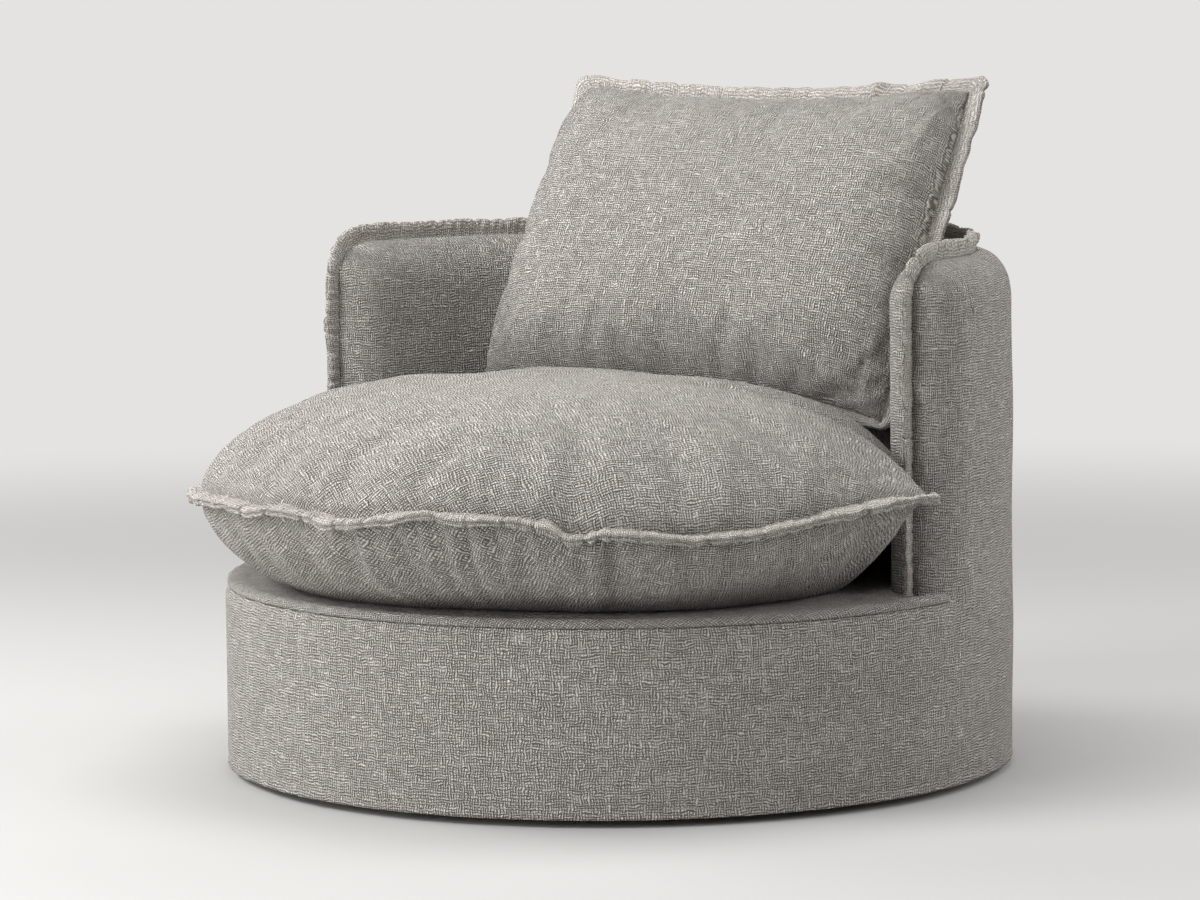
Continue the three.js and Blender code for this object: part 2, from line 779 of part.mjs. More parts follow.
function cushionUnder(share, angle, inset, drop) {
  const spot = at(share * (cushionReach(angle) - inset), angle, 0);
  const seam = seamHeight(angle) * share + cushionSeam * (1 - share);
  const belly = (cushionSide + bellyExtra - inset) * fall(share, bellyPower, bellyRoot);
  spot.z = Math.max(deckHeight + seatGap + Math.min(inset, foamInset), seam - drop - belly);
  return spot;
}

const topShares = [0, 0.18, 0.3, 0.38, 0.46, 0.6, 0.76, 0.89, 0.97, 1];
const underShares = [0, 0.7, 0.82, 0.9, 0.96, 1];
const coreTopShares = [0, 0.3, 0.38, 0.46, 0.6, 0.78, 0.93, 1];
const coreUnderShares = [0, 0.25, 0.5, 0.76, 0.82, 0.88, 0.94, 1];
const coreShare = 0.965; // the core stops short of the seam

// The top panel carries the flange, a second row of points beyond the seam.
function seatCoverTop() {
  const sheet = (side) => {
    const inset = side > 0 ? 0 : clothThickness;
    const lift = side > 0 ? flangeThickness / 2 : layerGap;
    return cushionAngles.map((angle) => {
      const rim = cushionReach(angle) + flangeReach(angle);
      const tip = at(rim, angle, seamHeight(angle) + (side * flangeThickness) / 2);
      return [...topShares.map((share) => cushionTop(share, angle, inset, lift)), tip];
    });
  };
  return slab(sheet(1), sheet(-1), true);
}

function seatCoverUnder() {
  const sheet = (inset) =>
    cushionAngles.map((angle) => underShares.map((share) => cushionUnder(share, angle, inset, layerGap)));
  return slab(sheet(0), sheet(clothThickness), true);
}

function seatCore() {
  const grid = (surface, shares) =>
    cushionAngles.map((angle) => shares.map((share) => surface(share * coreShare, angle, coreInset, 0)));
  return slab(grid(cushionTop, coreTopShares), grid(cushionUnder, coreUnderShares), true);
}

add("seat_cover_top", seatCoverTop(), cloth);
add("seat_cover_underside", seatCoverUnder(), cloth);
add("seat_core", seatCore(), foam);

// Zip: a tape sewn across the back of the underside panel, and the slider that runs along it.
// The underside draws in below its seam, and the tape stands just clear of it.
const rimShare = underShares[underShares.length - 2];
const rimDrop = (cushionSide + bellyExtra) * fall(rimShare, bellyPower, bellyRoot);
const zipTopShare = 1 - ((1 - rimShare) * (zipDrop - zipTapeWidth / 2)) / rimDrop;
const zipRadius = cushionRearRadius * zipTopShare + seatGap + layerGap;
const zipHeight = cushionSeam - zipDrop;
const zipStep = 4 * degree;

function zipTape() {
  const [low, high] = [zipHeight - zipTapeWidth / 2, zipHeight + zipTapeWidth / 2];
  const [from, to] = [Math.PI - zipHalfAngle, Math.PI + zipHalfAngle];
  return arcBar(zipRadius, zipRadius + zipTapeThickness, from, to, low, high, zipStep);
}

function zipSlider() {
  const angle = Math.PI - zipParked;
  const radius = zipRadius + zipTapeThickness + runningGap + sliderThickness / 2;
  const pullThickness = sliderThickness / 2;
  const body = new THREE.BoxGeometry(sliderLength, sliderThickness, sliderWidth);
  const pull = new THREE.BoxGeometry(sliderWidth / 2, pullThickness, pullLength);
  pull.translate(0, pullThickness / 2, -pullLength / 2);
  return join(body, pull).rotateZ(angle).translate(...at(radius, angle, zipHeight));
}

add("seat_zip_tape", zipTape(), nylon);
add("seat_zip_slider", zipSlider(), steel);

// Back cushion, laid out in shares across and along it, then leaned back and fitted between the arms
const pillowLevel = cushionTopLevel - pillowSink;
const wallContact = pillowFoot + (armHeight - armEdgeRounding - pillowLevel) * Math.tan(pillowLean);
const roomBeside = Math.sqrt((innerRadius - pillowClearance) ** 2 - wallContact ** 2);
const pillowHalf = roomBeside - pillowFlange;
const crossShares = [0, 0.25, 0.48, 0.68, 0.84, 0.95, 1];
const alongShares = [0, 0.3, 0.57, 0.8, 0.94, 1];
const bothWays = (shares) => [...shares.slice(1).map((share) => -share).reverse(), ...shares];
const flangeShare = 2; // stands for the edge of the flange, past the seam at 1

function pillowPoint(u, v, depth, inset = 0) {
  const [across, along] = [u, v].map((share) => Math.max(-1, Math.min(1, share)));
  const reach = pillowLength / 2 - inset - pillowPull * (1 - across ** 2);
  const flangeOut = (share) => (Math.abs(share) > 1 ? Math.sign(share) * pillowFlange : 0);
  const up = along * reach + flangeOut(v) + pillowLength / 2;
  return new THREE.Vector3(
    across * (pillowHalf - inset) + flangeOut(u),
    pillowFoot + up * Math.sin(pillowLean) + depth * Math.cos(pillowLean),
    pillowLevel + up * Math.cos(pillowLean) - depth * Math.sin(pillowLean),
  );
}

// How far a face stands out from the seams. The side is 1 at the rear and -1 in front.
function pillowDepth(u, v, inset, side) {
  const sides = side < 0 ? fall(u, pillowSidePower, pillowSideRoot) : fall(u, crownPower, crownRoot);
  return (pillowThickness / 2 - inset) * sides * fall(v, crownPower, crownRoot);
}

function pillowSheet(across, along, inset, depthAt) {
  return across.map((u) => along.map((v) => pillowPoint(u, v, depthAt(u, v), inset)));
}

// The front panel carries the flange.
function backCoverFront() {
  const across = [-flangeShare, ...bothWays(crossShares), flangeShare];
  const along = [-flangeShare, ...bothWays(alongShares), flangeShare];
  const half = flangeThickness / 2;
  const outside = (u, v) => -half - pillowDepth(u, v, 0, -1);
  const inside = (u, v) => {
    const flange = Math.abs(u) > 1 || Math.abs(v) > 1;
    return flange ? half : -layerGap - pillowDepth(u, v, clothThickness, -1);
  };
  return slab(pillowSheet(across, along, 0, outside), pillowSheet(across, along, clothThickness, inside));
}

function backCoverRear() {
  const [across, along] = [bothWays(crossShares), bothWays(alongShares)];
  const depthAt = (inset) => (u, v) => layerGap + pillowDepth(u, v, inset, 1);
  const sheet = (inset) => pillowSheet(across, along, inset, depthAt(inset));
  return slab(sheet(0), sheet(clothThickness));
}

function backFilling() {
  const inset = clothThickness + layerGap;
  const [across, along] = [bothWays(crossShares).slice(1, -1), bothWays(alongShares).slice(1, -1)];
  const depthAt = (side) => (u, v) => side * pillowDepth(u, v, inset, side);
  const sheet = (side) => pillowSheet(across, along, inset, depthAt(side));
  return slab(sheet(1), sheet(-1));
}

add("back_cover_front", backCoverFront(), cloth);
add("back_cover_rear", backCoverRear(), cloth);
add("back_filling", backFilling(), foam);

export default chair;
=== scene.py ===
# %% [markdown]
# A round swivel cuddle chair, dressed for the camera. The frame holds its sizes and its moving bodies, and
# this lesson makes what the eye meets: coarse heathered cloth over foam, flanged seams with their stitches,
# a stuffed seat cushion and a stuffed back cushion. Every piece is built in metres where the frame says it
# is.

# %% Load the frame
import json
import math
import random

import bmesh
import bpy
import numpy as np
from mathutils import Matrix, Vector, kdtree, noise


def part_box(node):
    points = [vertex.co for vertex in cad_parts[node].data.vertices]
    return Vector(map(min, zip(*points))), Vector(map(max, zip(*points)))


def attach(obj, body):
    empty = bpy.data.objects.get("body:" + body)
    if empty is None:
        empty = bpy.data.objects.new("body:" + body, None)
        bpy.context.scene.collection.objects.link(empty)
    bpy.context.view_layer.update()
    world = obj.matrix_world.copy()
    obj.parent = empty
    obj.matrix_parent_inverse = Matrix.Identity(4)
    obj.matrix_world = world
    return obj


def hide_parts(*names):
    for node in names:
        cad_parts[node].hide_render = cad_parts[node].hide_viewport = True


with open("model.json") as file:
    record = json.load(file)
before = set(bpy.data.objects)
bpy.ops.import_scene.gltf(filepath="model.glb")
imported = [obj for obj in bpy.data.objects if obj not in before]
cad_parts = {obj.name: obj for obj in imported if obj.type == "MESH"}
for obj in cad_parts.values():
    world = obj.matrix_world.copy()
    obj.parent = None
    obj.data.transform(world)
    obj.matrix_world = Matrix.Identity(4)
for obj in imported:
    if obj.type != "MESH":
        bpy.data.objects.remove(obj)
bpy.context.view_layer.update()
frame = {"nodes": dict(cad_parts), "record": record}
MM = 0.001
DEGREE = math.pi / 180

# %% [markdown]
# The camera stands where the photographer stood. Its place was worked out from the drum's ellipses and the
# arms: a long lens, a little above the seat, turned 37 degrees to the chair's left. A long lens keeps the
# drum's front and back nearly the same size, so the lens matters as much as the place.

# %% Camera
IMAGE_WIDTH = 1200
FOCAL_PIXELS = 4743.7
AXIS_PIXEL = 617.4
SENSOR = 36.0
CAMERA_DISTANCE = 6.3311
CAMERA_HEIGHT = 1.0683
CAMERA_TURN = 0.6449
CAMERA_PITCH = 0.1024
CAMERA_ROLL = -0.0111


def camera_axes():
    """The directions to the right of the camera, above it and behind it."""
    back = Vector((math.sin(CAMERA_TURN), -math.cos(CAMERA_TURN), 0))
    ahead = -back * math.cos(CAMERA_PITCH) - Vector((0, 0, math.sin(CAMERA_PITCH)))
    right = Vector((math.cos(CAMERA_TURN), math.sin(CAMERA_TURN), 0))
    above = right.cross(ahead)
    cosine, sine = math.cos(CAMERA_ROLL), math.sin(CAMERA_ROLL)
    return right * cosine + above * sine, above * cosine - right * sine, -ahead


camera = bpy.data.objects.new("camera", bpy.data.cameras.new("camera"))
bpy.context.scene.collection.objects.link(camera)
bpy.context.scene.camera = camera
camera.data.sensor_width = SENSOR
camera.data.lens = FOCAL_PIXELS / IMAGE_WIDTH * SENSOR
camera.data.shift_x = (IMAGE_WIDTH / 2 - AXIS_PIXEL) / IMAGE_WIDTH
stand = Vector((math.sin(CAMERA_TURN), -math.cos(CAMERA_TURN), 0)) * CAMERA_DISTANCE
stand.z = CAMERA_HEIGHT
camera.matrix_world = Matrix.Translation(stand) @ Matrix(camera_axes()).transposed().to_4x4()
print("lens:", round(camera.data.lens, 1), "mm")

# %% [markdown]
# Colours are written as the hex values that a colour picker shows, and the shaders want linear light, so
# one function turns one into the other. One more function adds a node: its inputs are values or other
# nodes' outputs, found by name or, where they are given as a list, by number. What every finish here needs
# in the end is the same: colours along a pattern, a roughness and mostly a relief, so a last function adds
# those.

# %% Colours and nodes


def linear(code, alpha=1.0):
    """A hex colour as linear red, green, blue and alpha."""
    shares = [int(code[i : i + 2], 16) / 255 for i in (1, 3, 5)]
    return [s / 12.92 if s <= 0.04045 else ((s + 0.055) / 1.055) ** 2.4 for s in shares] + [alpha]


def add_node(material, kind, inputs=(), output=0, **settings):
    """Adds a node with its settings, fills or links its inputs, and gives one of its outputs."""
    made = material.node_tree.nodes.new(kind)
    for name, value in settings.items():
        setattr(made, name, value)
    for key, value in inputs.items() if isinstance(inputs, dict) else enumerate(inputs):
        if isinstance(value, bpy.types.NodeSocket):
            material.node_tree.links.new(value, made.inputs[key])
        else:
            made.inputs[key].default_value = value
    return made.outputs[output]


def new_material(name):
    """A material with a Principled shader and nothing else."""
    material = bpy.data.materials.new(name)
    material.use_nodes = True
    return material


def finished(material, tint, stops, roughness, height=None, relief=0.0):
    """Gives a material its colours, a hex value at each stop along a tint, its roughness and its relief.

    The relief is as deep as it says where the height goes from 0 to 1. The shader comes back for more."""
    shader = material.node_tree.nodes["Principled BSDF"]
    shader.inputs["Roughness"].default_value = roughness
    colour = add_node(material, "ShaderNodeValToRGB", {"Fac": tint})
    elements = colour.node.color_ramp.elements
    while len(elements) < len(stops):
        elements.new(0.5)
    for element, (place, code) in zip(elements, stops):
        element.position = place
        element.color = linear(code)
    material.node_tree.links.new(colour, shader.inputs["Base Color"])
    if height is not None:
        look = {"Height": height, "Distance": relief, "Strength": 1.0}
        material.node_tree.links.new(add_node(material, "ShaderNodeBump", look), shader.inputs["Normal"])
    return shader


# %% [markdown]
# The cover is a heavy linen and chenille cloth in a plain weave. Thick and thin yarns of several greys give
# it a heathered look, and the yarns don't cross evenly: one often lies over two or three others before it
# dives, so the cloth shows short ridges both ways. It could be an image, but nodes keep it sharp and tie it
# to the pattern pieces: each sewn panel carries its place on the flat cloth, in metres, as its UV map, so
# the yarns run round the curves as they do on the real chair. The real yarns are about 2 mm apart, in pairs
# that read as one at this distance, so the weave is drawn at the width of a pair. The yarns' tops are
# painted lighter and the pits between them darker, which is painted shade in the weave's hollows. Where
# the same cloth is rolled into a flange, the pull of the fold flattens its ridges, so the flanges get a
# calmer version with less relief. Its pits are painted paler and its tops a little duller: painted light, for
# the fold opens it to the light.

# %% Woven cloth
YARN = 3.6 * MM
BLOTCH = 62.5 * MM
WAVE_PERIOD = 20 / (2 * math.pi)
NOISE = "ShaderNodeTexNoise"
MATHS = "ShaderNodeMath"
VECTORS = "ShaderNodeVectorMath"


def woven_cloth(name, yarn, relief, *stops):
    """Plain-woven heathered cloth, laid out on the UV map called cloth."""
    cloth = new_material(name)
    place = add_node(cloth, "ShaderNodeUVMap", uv_map="cloth")
    yarns = add_node(cloth, VECTORS, [place, (1 / yarn, 1 / yarn, 0)], operation="MULTIPLY")
    drift = add_node(cloth, NOISE, {"Vector": yarns, "Scale": 0.11, "Detail": 3.0}, "Color")
    drifted = add_node(cloth, VECTORS, [drift, (2.4, 2.4, 0), yarns], operation="MULTIPLY_ADD")
    jitter = add_node(cloth, NOISE, {"Vector": yarns, "Scale": 0.34, "Detail": 1.0}, "Color")
    wander = add_node(cloth, VECTORS, [jitter, (1.3, 1.3, 0), drifted], operation="MULTIPLY_ADD")
    waves = {"Vector": wander, "Scale": 1 / WAVE_PERIOD}
    warp = add_node(cloth, "ShaderNodeTexWave", waves, "Fac", bands_direction="X")
    weft = add_node(cloth, "ShaderNodeTexWave", waves, "Fac", bands_direction="Y")

    # At each crossing chance decides which yarn lies on top, leaning towards one over and one under
    crossing = add_node(cloth, VECTORS, [wander], operation="FLOOR")
    luck = add_node(cloth, "ShaderNodeTexWhiteNoise", {"Vector": crossing}, noise_dimensions="2D")
    check = add_node(cloth, "ShaderNodeTexChecker", {"Vector": wander, "Scale": 1.0}, "Fac")
    chance = add_node(cloth, MATHS, [check, 0.6, luck], operation="MULTIPLY_ADD")
    over = add_node(cloth, "ShaderNodeMapRange", {"Value": chance, "From Min": 0.77, "From Max": 0.83})

    # A yarn arches over the one that it crosses, and its shade changes slowly along its own length
    heights, shades = [], []
    for ridge, crossed, drawn in ((weft, warp, (0.14, 0.8, 0)), (warp, weft, (0.8, 0.14, 0))):
        bent = add_node(cloth, MATHS, [crossed, 0.5], operation="POWER")
        arch = add_node(cloth, MATHS, [bent, 0.45, 0.55], operation="MULTIPLY_ADD")
        heights.append(add_node(cloth, MATHS, [ridge, arch], operation="MULTIPLY"))
        along = add_node(cloth, VECTORS, [wander, drawn], operation="MULTIPLY")
        shades.append(add_node(cloth, NOISE, {"Vector": along, "Scale": 1.0, "Detail": 3.0}))
    height = add_node(cloth, "ShaderNodeMix", {"Factor": over, "A": heights[0], "B": heights[1]})
    shade = add_node(cloth, "ShaderNodeMix", {"Factor": over, "A": shades[0], "B": shades[1]})

    blotch = add_node(cloth, NOISE, {"Vector": place, "Scale": 1 / BLOTCH, "Detail": 3.0})
    # The yarns' tops are painted lighter and the pits between them darker: painted shade in the weave's
    # hollows, added to the yarns' own dyed shades and a faint random blotch.
    dyed = add_node(cloth, MATHS, [shade, 0.6], operation="MULTIPLY")
    dye_and_painted_pit_shade = add_node(cloth, MATHS, [height, 0.42, dyed], operation="MULTIPLY_ADD")
    tone = add_node(cloth, MATHS, [blotch, 0.1, dye_and_painted_pit_shade], operation="MULTIPLY_ADD")
    raised = add_node(cloth, MATHS, [shade, 1.2, height], operation="MULTIPLY_ADD")
    shader = finished(cloth, tone, stops, 0.94, raised, relief)
    shader.inputs["Specular IOR Level"].default_value = 0.15
    shader.inputs["Sheen Weight"].default_value = 0.1
    shader.inputs["Sheen Roughness"].default_value = 0.45
    return cloth


cover_cloth = woven_cloth(
    "linen_chenille_weave", YARN, 3.1 * MM, (0.38, "#706A64"), (0.56, "#C3BDB7"), (0.78, "#E5E1DC")
)
# The flanges' cloth has paler pits and duller tops than the cover's: painted light, standing in for the light
# that the opened fold catches.
rolled_cloth_painted_light = woven_cloth(
    "linen_chenille_rolled_painted_light", 0.8 * YARN, 1.4 * MM, (0.38, "#8A847E"), (0.57, "#C1BBB5"), (0.8, "#DAD6D0")
)
print("cover cloth:", len(cover_cloth.node_tree.nodes), "nodes")

# %% [markdown]
# The sewing thread is a bonded polyester, a shade lighter than the cloth, with a twist too fine to see: a
# fine noise stands in for it. Foam is cut from a block, so its skin is its own open cells, in small pits.

# %% Thread and foam
TWIST = 1.11 * MM
FOAM_CELL = 2.38 * MM
YELLOWING = 200 * MM

thread = new_material("bonded_polyester_thread")
on_thread = add_node(thread, "ShaderNodeTexCoord", output="Object")
twist = add_node(thread, NOISE, {"Vector": on_thread, "Scale": 1 / TWIST, "Detail": 1.0})
finished(thread, twist, [(0.3, "#A8A29B"), (0.7, "#CFCAC3")], 0.6)

foam = new_material("cut_upholstery_foam")
on_foam = add_node(foam, "ShaderNodeTexCoord", output="Object")
cells = add_node(foam, "ShaderNodeTexVoronoi", {"Vector": on_foam, "Scale": 1 / FOAM_CELL})
yellowed = add_node(foam, NOISE, {"Vector": on_foam, "Scale": 1 / YELLOWING, "Detail": 3.0})
finished(foam, yellowed, [(0.35, "#E0D8BD"), (0.7, "#ECE6D2")], 1.0, cells, 0.8 * MM)
print("thread and foam made")

# %% [markdown]
# The hidden frame is bare plywood and sawn softwood. Wood grain is a noise stretched along the board, with
# growth rings as bands inside it. The plates, screws, rivet and balls are pressed steel with a bright zinc
# finish, which breaks into faint spangles. The glides, the ball cage and the zip are moulded nylon, finely
# sparked by the mould.

# %% Timber, steel and nylon
FIBRE_WIDTH = 9.6 * MM
FIBRE_LENGTH = 125 * MM
SPANGLE = 6.25 * MM
ROLLING = 3.33 * MM
SPARK = 0.71 * MM

timber = new_material("bare_plywood")
on_board = add_node(timber, "ShaderNodeTexCoord", output="Object")
drawn = (1 / FIBRE_LENGTH, 1 / FIBRE_WIDTH, 1 / FIBRE_WIDTH)
stretched = add_node(timber, "ShaderNodeMapping", {"Vector": on_board, "Scale": drawn})
fibres = add_node(timber, NOISE, {"Vector": stretched, "Scale": 1.0, "Detail": 6.0})
ring_look = {"Vector": stretched, "Scale": 0.0875, "Distortion": 7.0, "Detail": 3.0}
rings = add_node(timber, "ShaderNodeTexWave", ring_look, "Fac")
grain = add_node(timber, MATHS, [rings, 0.4, fibres], operation="MULTIPLY_ADD")
finished(timber, grain, [(0.35, "#A98558"), (0.6, "#C9A678"), (0.95, "#DCC29A")], 0.7, grain, 0.3 * MM)

steel = new_material("zinc_plated_steel")
on_steel = add_node(steel, "ShaderNodeTexCoord", output="Object")
spangle = add_node(steel, "ShaderNodeTexVoronoi", {"Vector": on_steel, "Scale": 1 / SPANGLE})
rolled = add_node(steel, NOISE, {"Vector": on_steel, "Scale": 1 / ROLLING, "Detail": 2.0})
zinc = finished(steel, spangle, [(0.0, "#9DA1A4"), (1.0, "#B9BDBF")], 0.36, rolled, 0.05 * MM)
zinc.inputs["Metallic"].default_value = 1.0

nylon = new_material("moulded_nylon")
on_nylon = add_node(nylon, "ShaderNodeTexCoord", output="Object")
sparks = add_node(nylon, NOISE, {"Vector": on_nylon, "Scale": 1 / SPARK, "Detail": 2.0})
finished(nylon, sparks, [(0.3, "#262627"), (0.8, "#313133")], 0.48, sparks, 0.04 * MM)
print("hard materials made")

# %% [markdown]
# Elastic webbing is woven flat with rubber threads that show as fine ribs along it. The cloth under the
# base is a black non-woven felt, pressed from fibres, so it has no yarns, only a fine random tangle.

# %% Webbing and base cloth
RIB = 3 * MM
PICK = 2 * MM
TANGLE = 2.22 * MM

webbing = new_material("elastic_webbing")
on_web = add_node(webbing, "ShaderNodeUVMap", uv_map="cloth")
rib_look = {"Vector": on_web, "Scale": 1 / RIB / WAVE_PERIOD}
ribs = add_node(webbing, "ShaderNodeTexWave", rib_look, "Fac")
pick_look = {"Vector": on_web, "Scale": 1 / PICK / WAVE_PERIOD}
picks = add_node(webbing, "ShaderNodeTexWave", pick_look, "Fac", bands_direction="Y")
woven = add_node(webbing, MATHS, [ribs, picks], operation="MULTIPLY")
finished(webbing, woven, [(0.0, "#35312B"), (1.0, "#5E574D")], 0.85, woven, 0.4 * MM)

felt = new_material("black_base_felt")
on_felt = add_node(felt, "ShaderNodeTexCoord", output="Object")
tangle = add_node(felt, NOISE, {"Vector": on_felt, "Scale": 1 / TANGLE, "Detail": 5.0})
finished(felt, tangle, [(0.3, "#161617"), (0.8, "#2A2A2C")], 0.95, tangle, 0.25 * MM)
print("webbing and felt made")

# %% [markdown]
# Upholstery is sewn from flat panels, and so are these pieces: each starts as a flat grid, and a rule says
# where each of its points goes. The same rule's shares also give the point's place on the flat cloth. Edges
# that meet are welded, which is the sewing.

# %% Panels
WELD = 0.01 * MM


def at(radius, angle, height):
    """A point from a radius, an angle from the front (turning towards +X) and a height."""
    return Vector((radius * math.sin(angle), -radius * math.cos(angle), height))


def smooth(low, high, value):
    """Rises from 0 to 1 between low and high, with no corners."""
    share = min(1.0, max(0.0, (value - low) / (high - low)))
    return share * share * (3 - 2 * share)


def wobble(x, y, z=0.0):
    """Smooth noise, mostly within half a unit of 0, with bumps about one unit wide."""
    return noise.noise(Vector((x, y, z)))


def panel(columns, rows, place, cloth, inside_out=False):
    """A grid laid where place(u, v) says, whose UV map holds cloth(u, v), with u and v from 0 to 1."""
    sheet = bmesh.new()
    bmesh.ops.create_grid(sheet, x_segments=columns, y_segments=rows, size=0.5)
    on_cloth = sheet.loops.layers.uv.new("cloth")
    for face in sheet.faces:
        for loop in face.loops:
            loop[on_cloth].uv = cloth(loop.vert.co.x + 0.5, loop.vert.co.y + 0.5)
    for vertex in sheet.verts:
        vertex.co = place(vertex.co.x + 0.5, vertex.co.y + 0.5)
    if inside_out:
        bmesh.ops.reverse_faces(sheet, faces=sheet.faces)
    bmesh.ops.remove_doubles(sheet, verts=sheet.verts, dist=WELD)
    return sheet


def sewn(*sheets):
    """Puts sheets together, and welds the edges that meet."""
    whole = bmesh.new()
    for sheet in sheets:
        part = bpy.data.meshes.new("part")
        sheet.to_mesh(part)
        sheet.free()
        whole.from_mesh(part)
        bpy.data.meshes.remove(part)
    bmesh.ops.remove_doubles(whole, verts=whole.verts, dist=WELD)
    return whole


def piece(name, sheet, finish, body, slot, *stands_for):
    """An object of a sheet, with its finish, on its body, in the place of the nodes that it stands for."""
    mesh = bpy.data.meshes.new(name)
    sheet.to_mesh(mesh)
    sheet.free()
    mesh.materials.append(finish)
    mesh.shade_smooth()
    made = bpy.data.objects.new(name, mesh)
    bpy.context.scene.collection.objects.link(made)
    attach(made, body)
    if stands_for:
        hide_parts(*stands_for)
    print(name, len(mesh.polygons), "faces")
    return made


def thicken(made, thickness):
    """Gives a sheet its thickness, on the side that its faces turn away from."""
    wall = made.modifiers.new("thickness", "SOLIDIFY")
    wall.thickness = thickness
    wall.offset = -1
    return made


# %% [markdown]
# The wall is a padded arc: its outside and its inside both curve in to one seam, which runs up an arm's
# front, round a small corner, along the top and down the other arm. How far a face stands out from the seam
# depends only on how deep a point lies inside the wall's outline, so one rule makes the rounded top, fronts
# and corners alike. The same rule, set in by the thickness of what lies over it, makes the foam under the
# cover.

# %% Sizes of the drum and its wall
DRUM_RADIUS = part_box("outer_cover")[1].x
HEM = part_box("outer_cover")[0].z
ARM_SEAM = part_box("inner_cover")[1].z
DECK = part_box("deck_cover")[1].z
DECK_SEAM = DECK - 8 * MM
SEAM_RADIUS = 478 * MM
OUTER_BULGE = DRUM_RADIUS - SEAM_RADIUS
INNER_BULGE = 57.5 * MM
ARM_CORNER = 55 * MM
ARM_ROUNDING = 72 * MM
ARM_END = 88.7 * DEGREE
WALL_LENGTH = 2 * (math.pi - ARM_END) * SEAM_RADIUS
DECK_SEAM_INSET = 6.5 * MM
BAND_LEAN = 24 * MM
CLOTH = 2.5 * MM


def fall(share, power, root):
    """The outline of a stuffed pad, from 1 in its middle to 0 at its seam."""
    return (1 - min(1.0, abs(share)) ** power) ** (1 / root)


def wall_top(along, inset=0.0):
    """The height of the wall's outline at a place along it."""
    side = min(along, WALL_LENGTH - along) - inset
    short = min(ARM_CORNER, max(0.0, ARM_CORNER - side))
    return ARM_SEAM - inset - ARM_CORNER + math.sqrt(ARM_CORNER**2 - short**2)


def wall_depth(along, height, inset=0.0):
    """How far a place on the wall lies inside its outline."""
    side = min(along, WALL_LENGTH - along) - inset
    top = ARM_SEAM - inset - height
    if side >= ARM_CORNER or top >= ARM_CORNER:
        return min(side, top)
    return ARM_CORNER - math.hypot(ARM_CORNER - side, ARM_CORNER - top)


def bulge(half, depth, rounding=ARM_ROUNDING):
    """How far a face of the wall stands out from the seam."""
    return half * fall(1 - min(1.0, max(0.0, depth) / rounding), 2.4, 2.2)


print("wall:", round(WALL_LENGTH, 3), "m along its seam")

# %% [markdown]
# The outer cover is one smooth skin from the hem to the arm's seam, because the real one is cut in one
# height. Only in front, between the arms, does it stop at the deck's seam. It is nearly even, but stuffed
# cloth is never a perfect cylinder: broad shallow swells catch the light, small puckers gather where the
# flange pulls the seam, and more of them fan out from the corners, where the cloth has to give up length. A
# shallow groove marks the hem.

# %% Outer cover
WALL_COLUMNS = 320
FRONT_COLUMNS = 190
BAND_ROWS = 32
FACE_ROWS = 36
ROUND_ROWS = 18
SWELL = 2.4 * MM
PUCKER = 3.2 * MM
GATHER = 4.5 * MM
SWELL_SPAN = 160 * MM
PUCKER_SPAN = 20 * MM
CORNER_START = 20 * MM
CORNER_REACH = 45 * MM
BAND_PULL = 2.6 * MM
HEM_STITCH = 13 * MM
HEM_GROOVE = 1.3 * MM
HEM_GROOVE_HALF = 3 * MM
HEM_RIPPLE = 1.2 * MM


def wall_place(u):
    """A place along the wall, with its columns closer together towards both arm fronts."""
    return WALL_LENGTH * (u - 0.07 * math.sin(2 * math.pi * u))


def uneven(along, height, depth):
    """How far the cloth stands off its even shape: swells inside, puckers and gathers along the seam."""
    swell = SWELL * wobble(along / SWELL_SPAN, height / SWELL_SPAN, 3) * smooth(0, SWELL_SPAN / 2, depth)
    pucker = PUCKER * wobble(along / PUCKER_SPAN, height / PUCKER_SPAN, 9) * math.exp(-depth / PUCKER_SPAN)
    side, top = min(along, WALL_LENGTH - along), ARM_SEAM - height
    fan = ARM_CORNER + CORNER_START
    turn = math.atan2(fan - side, fan - top)
    away = max(0.0, math.hypot(side - CORNER_START, top - CORNER_START) - CORNER_START)
    gather = GATHER * wobble(turn / 0.24, along / WALL_LENGTH, 13) * math.exp(-((away / CORNER_REACH) ** 2))
    return swell + (pucker + gather) * smooth(0, 8 * MM, depth)


def face_height(along, v, foot):
    """The height of a row on the wall: even rows up the face, then closer ones over the rounded edge."""
    top = wall_top(along)
    rounding_share = ROUND_ROWS / (FACE_ROWS + ROUND_ROWS)
    shoulder = max(foot, top - ARM_ROUNDING)
    if v < 1 - rounding_share:
        return foot + (shoulder - foot) * v / (1 - rounding_share)
    left = (1 - v) / rounding_share
    return top - (top - shoulder) * left**1.7


def band_height(v):
    """The height of a row on the band, with its rows closer together at the hem and at the deck's seam."""
    return HEM + (DECK_SEAM - HEM) * (v - 0.1 * math.sin(2 * math.pi * v))


def band_point(angle, v, lean):
    """A point on the band round the drum, which leans in where it meets the deck's seam."""
    height = band_height(v)
    below = DECK_SEAM - height
    share = max(0.0, 1 - below / BAND_LEAN)
    radius = DRUM_RADIUS - lean * (1 - math.sqrt(max(0.0, 1 - share**2)))
    groove = HEM_GROOVE * math.exp(-(((height - HEM - HEM_STITCH) / HEM_GROOVE_HALF) ** 2))
    sway = SWELL * wobble(*at(3.2, angle, height / SWELL_SPAN)) * smooth(0, 50 * MM, below)
    fading = math.exp(-below / (16 * MM)) * smooth(0, 6 * MM, below)
    pull = BAND_PULL * wobble(*at(24, angle, height / (50 * MM))) * fading
    ripple = HEM_RIPPLE * wobble(*at(30, angle, 4)) * math.exp(-(height - HEM) / PUCKER_SPAN)
    return at(radius + sway - groove + ripple + pull * (lean > 4 * MM), angle, height)


def front_band(u, v):
    return band_point(ARM_END * (2 * u - 1), v, DECK_SEAM_INSET)


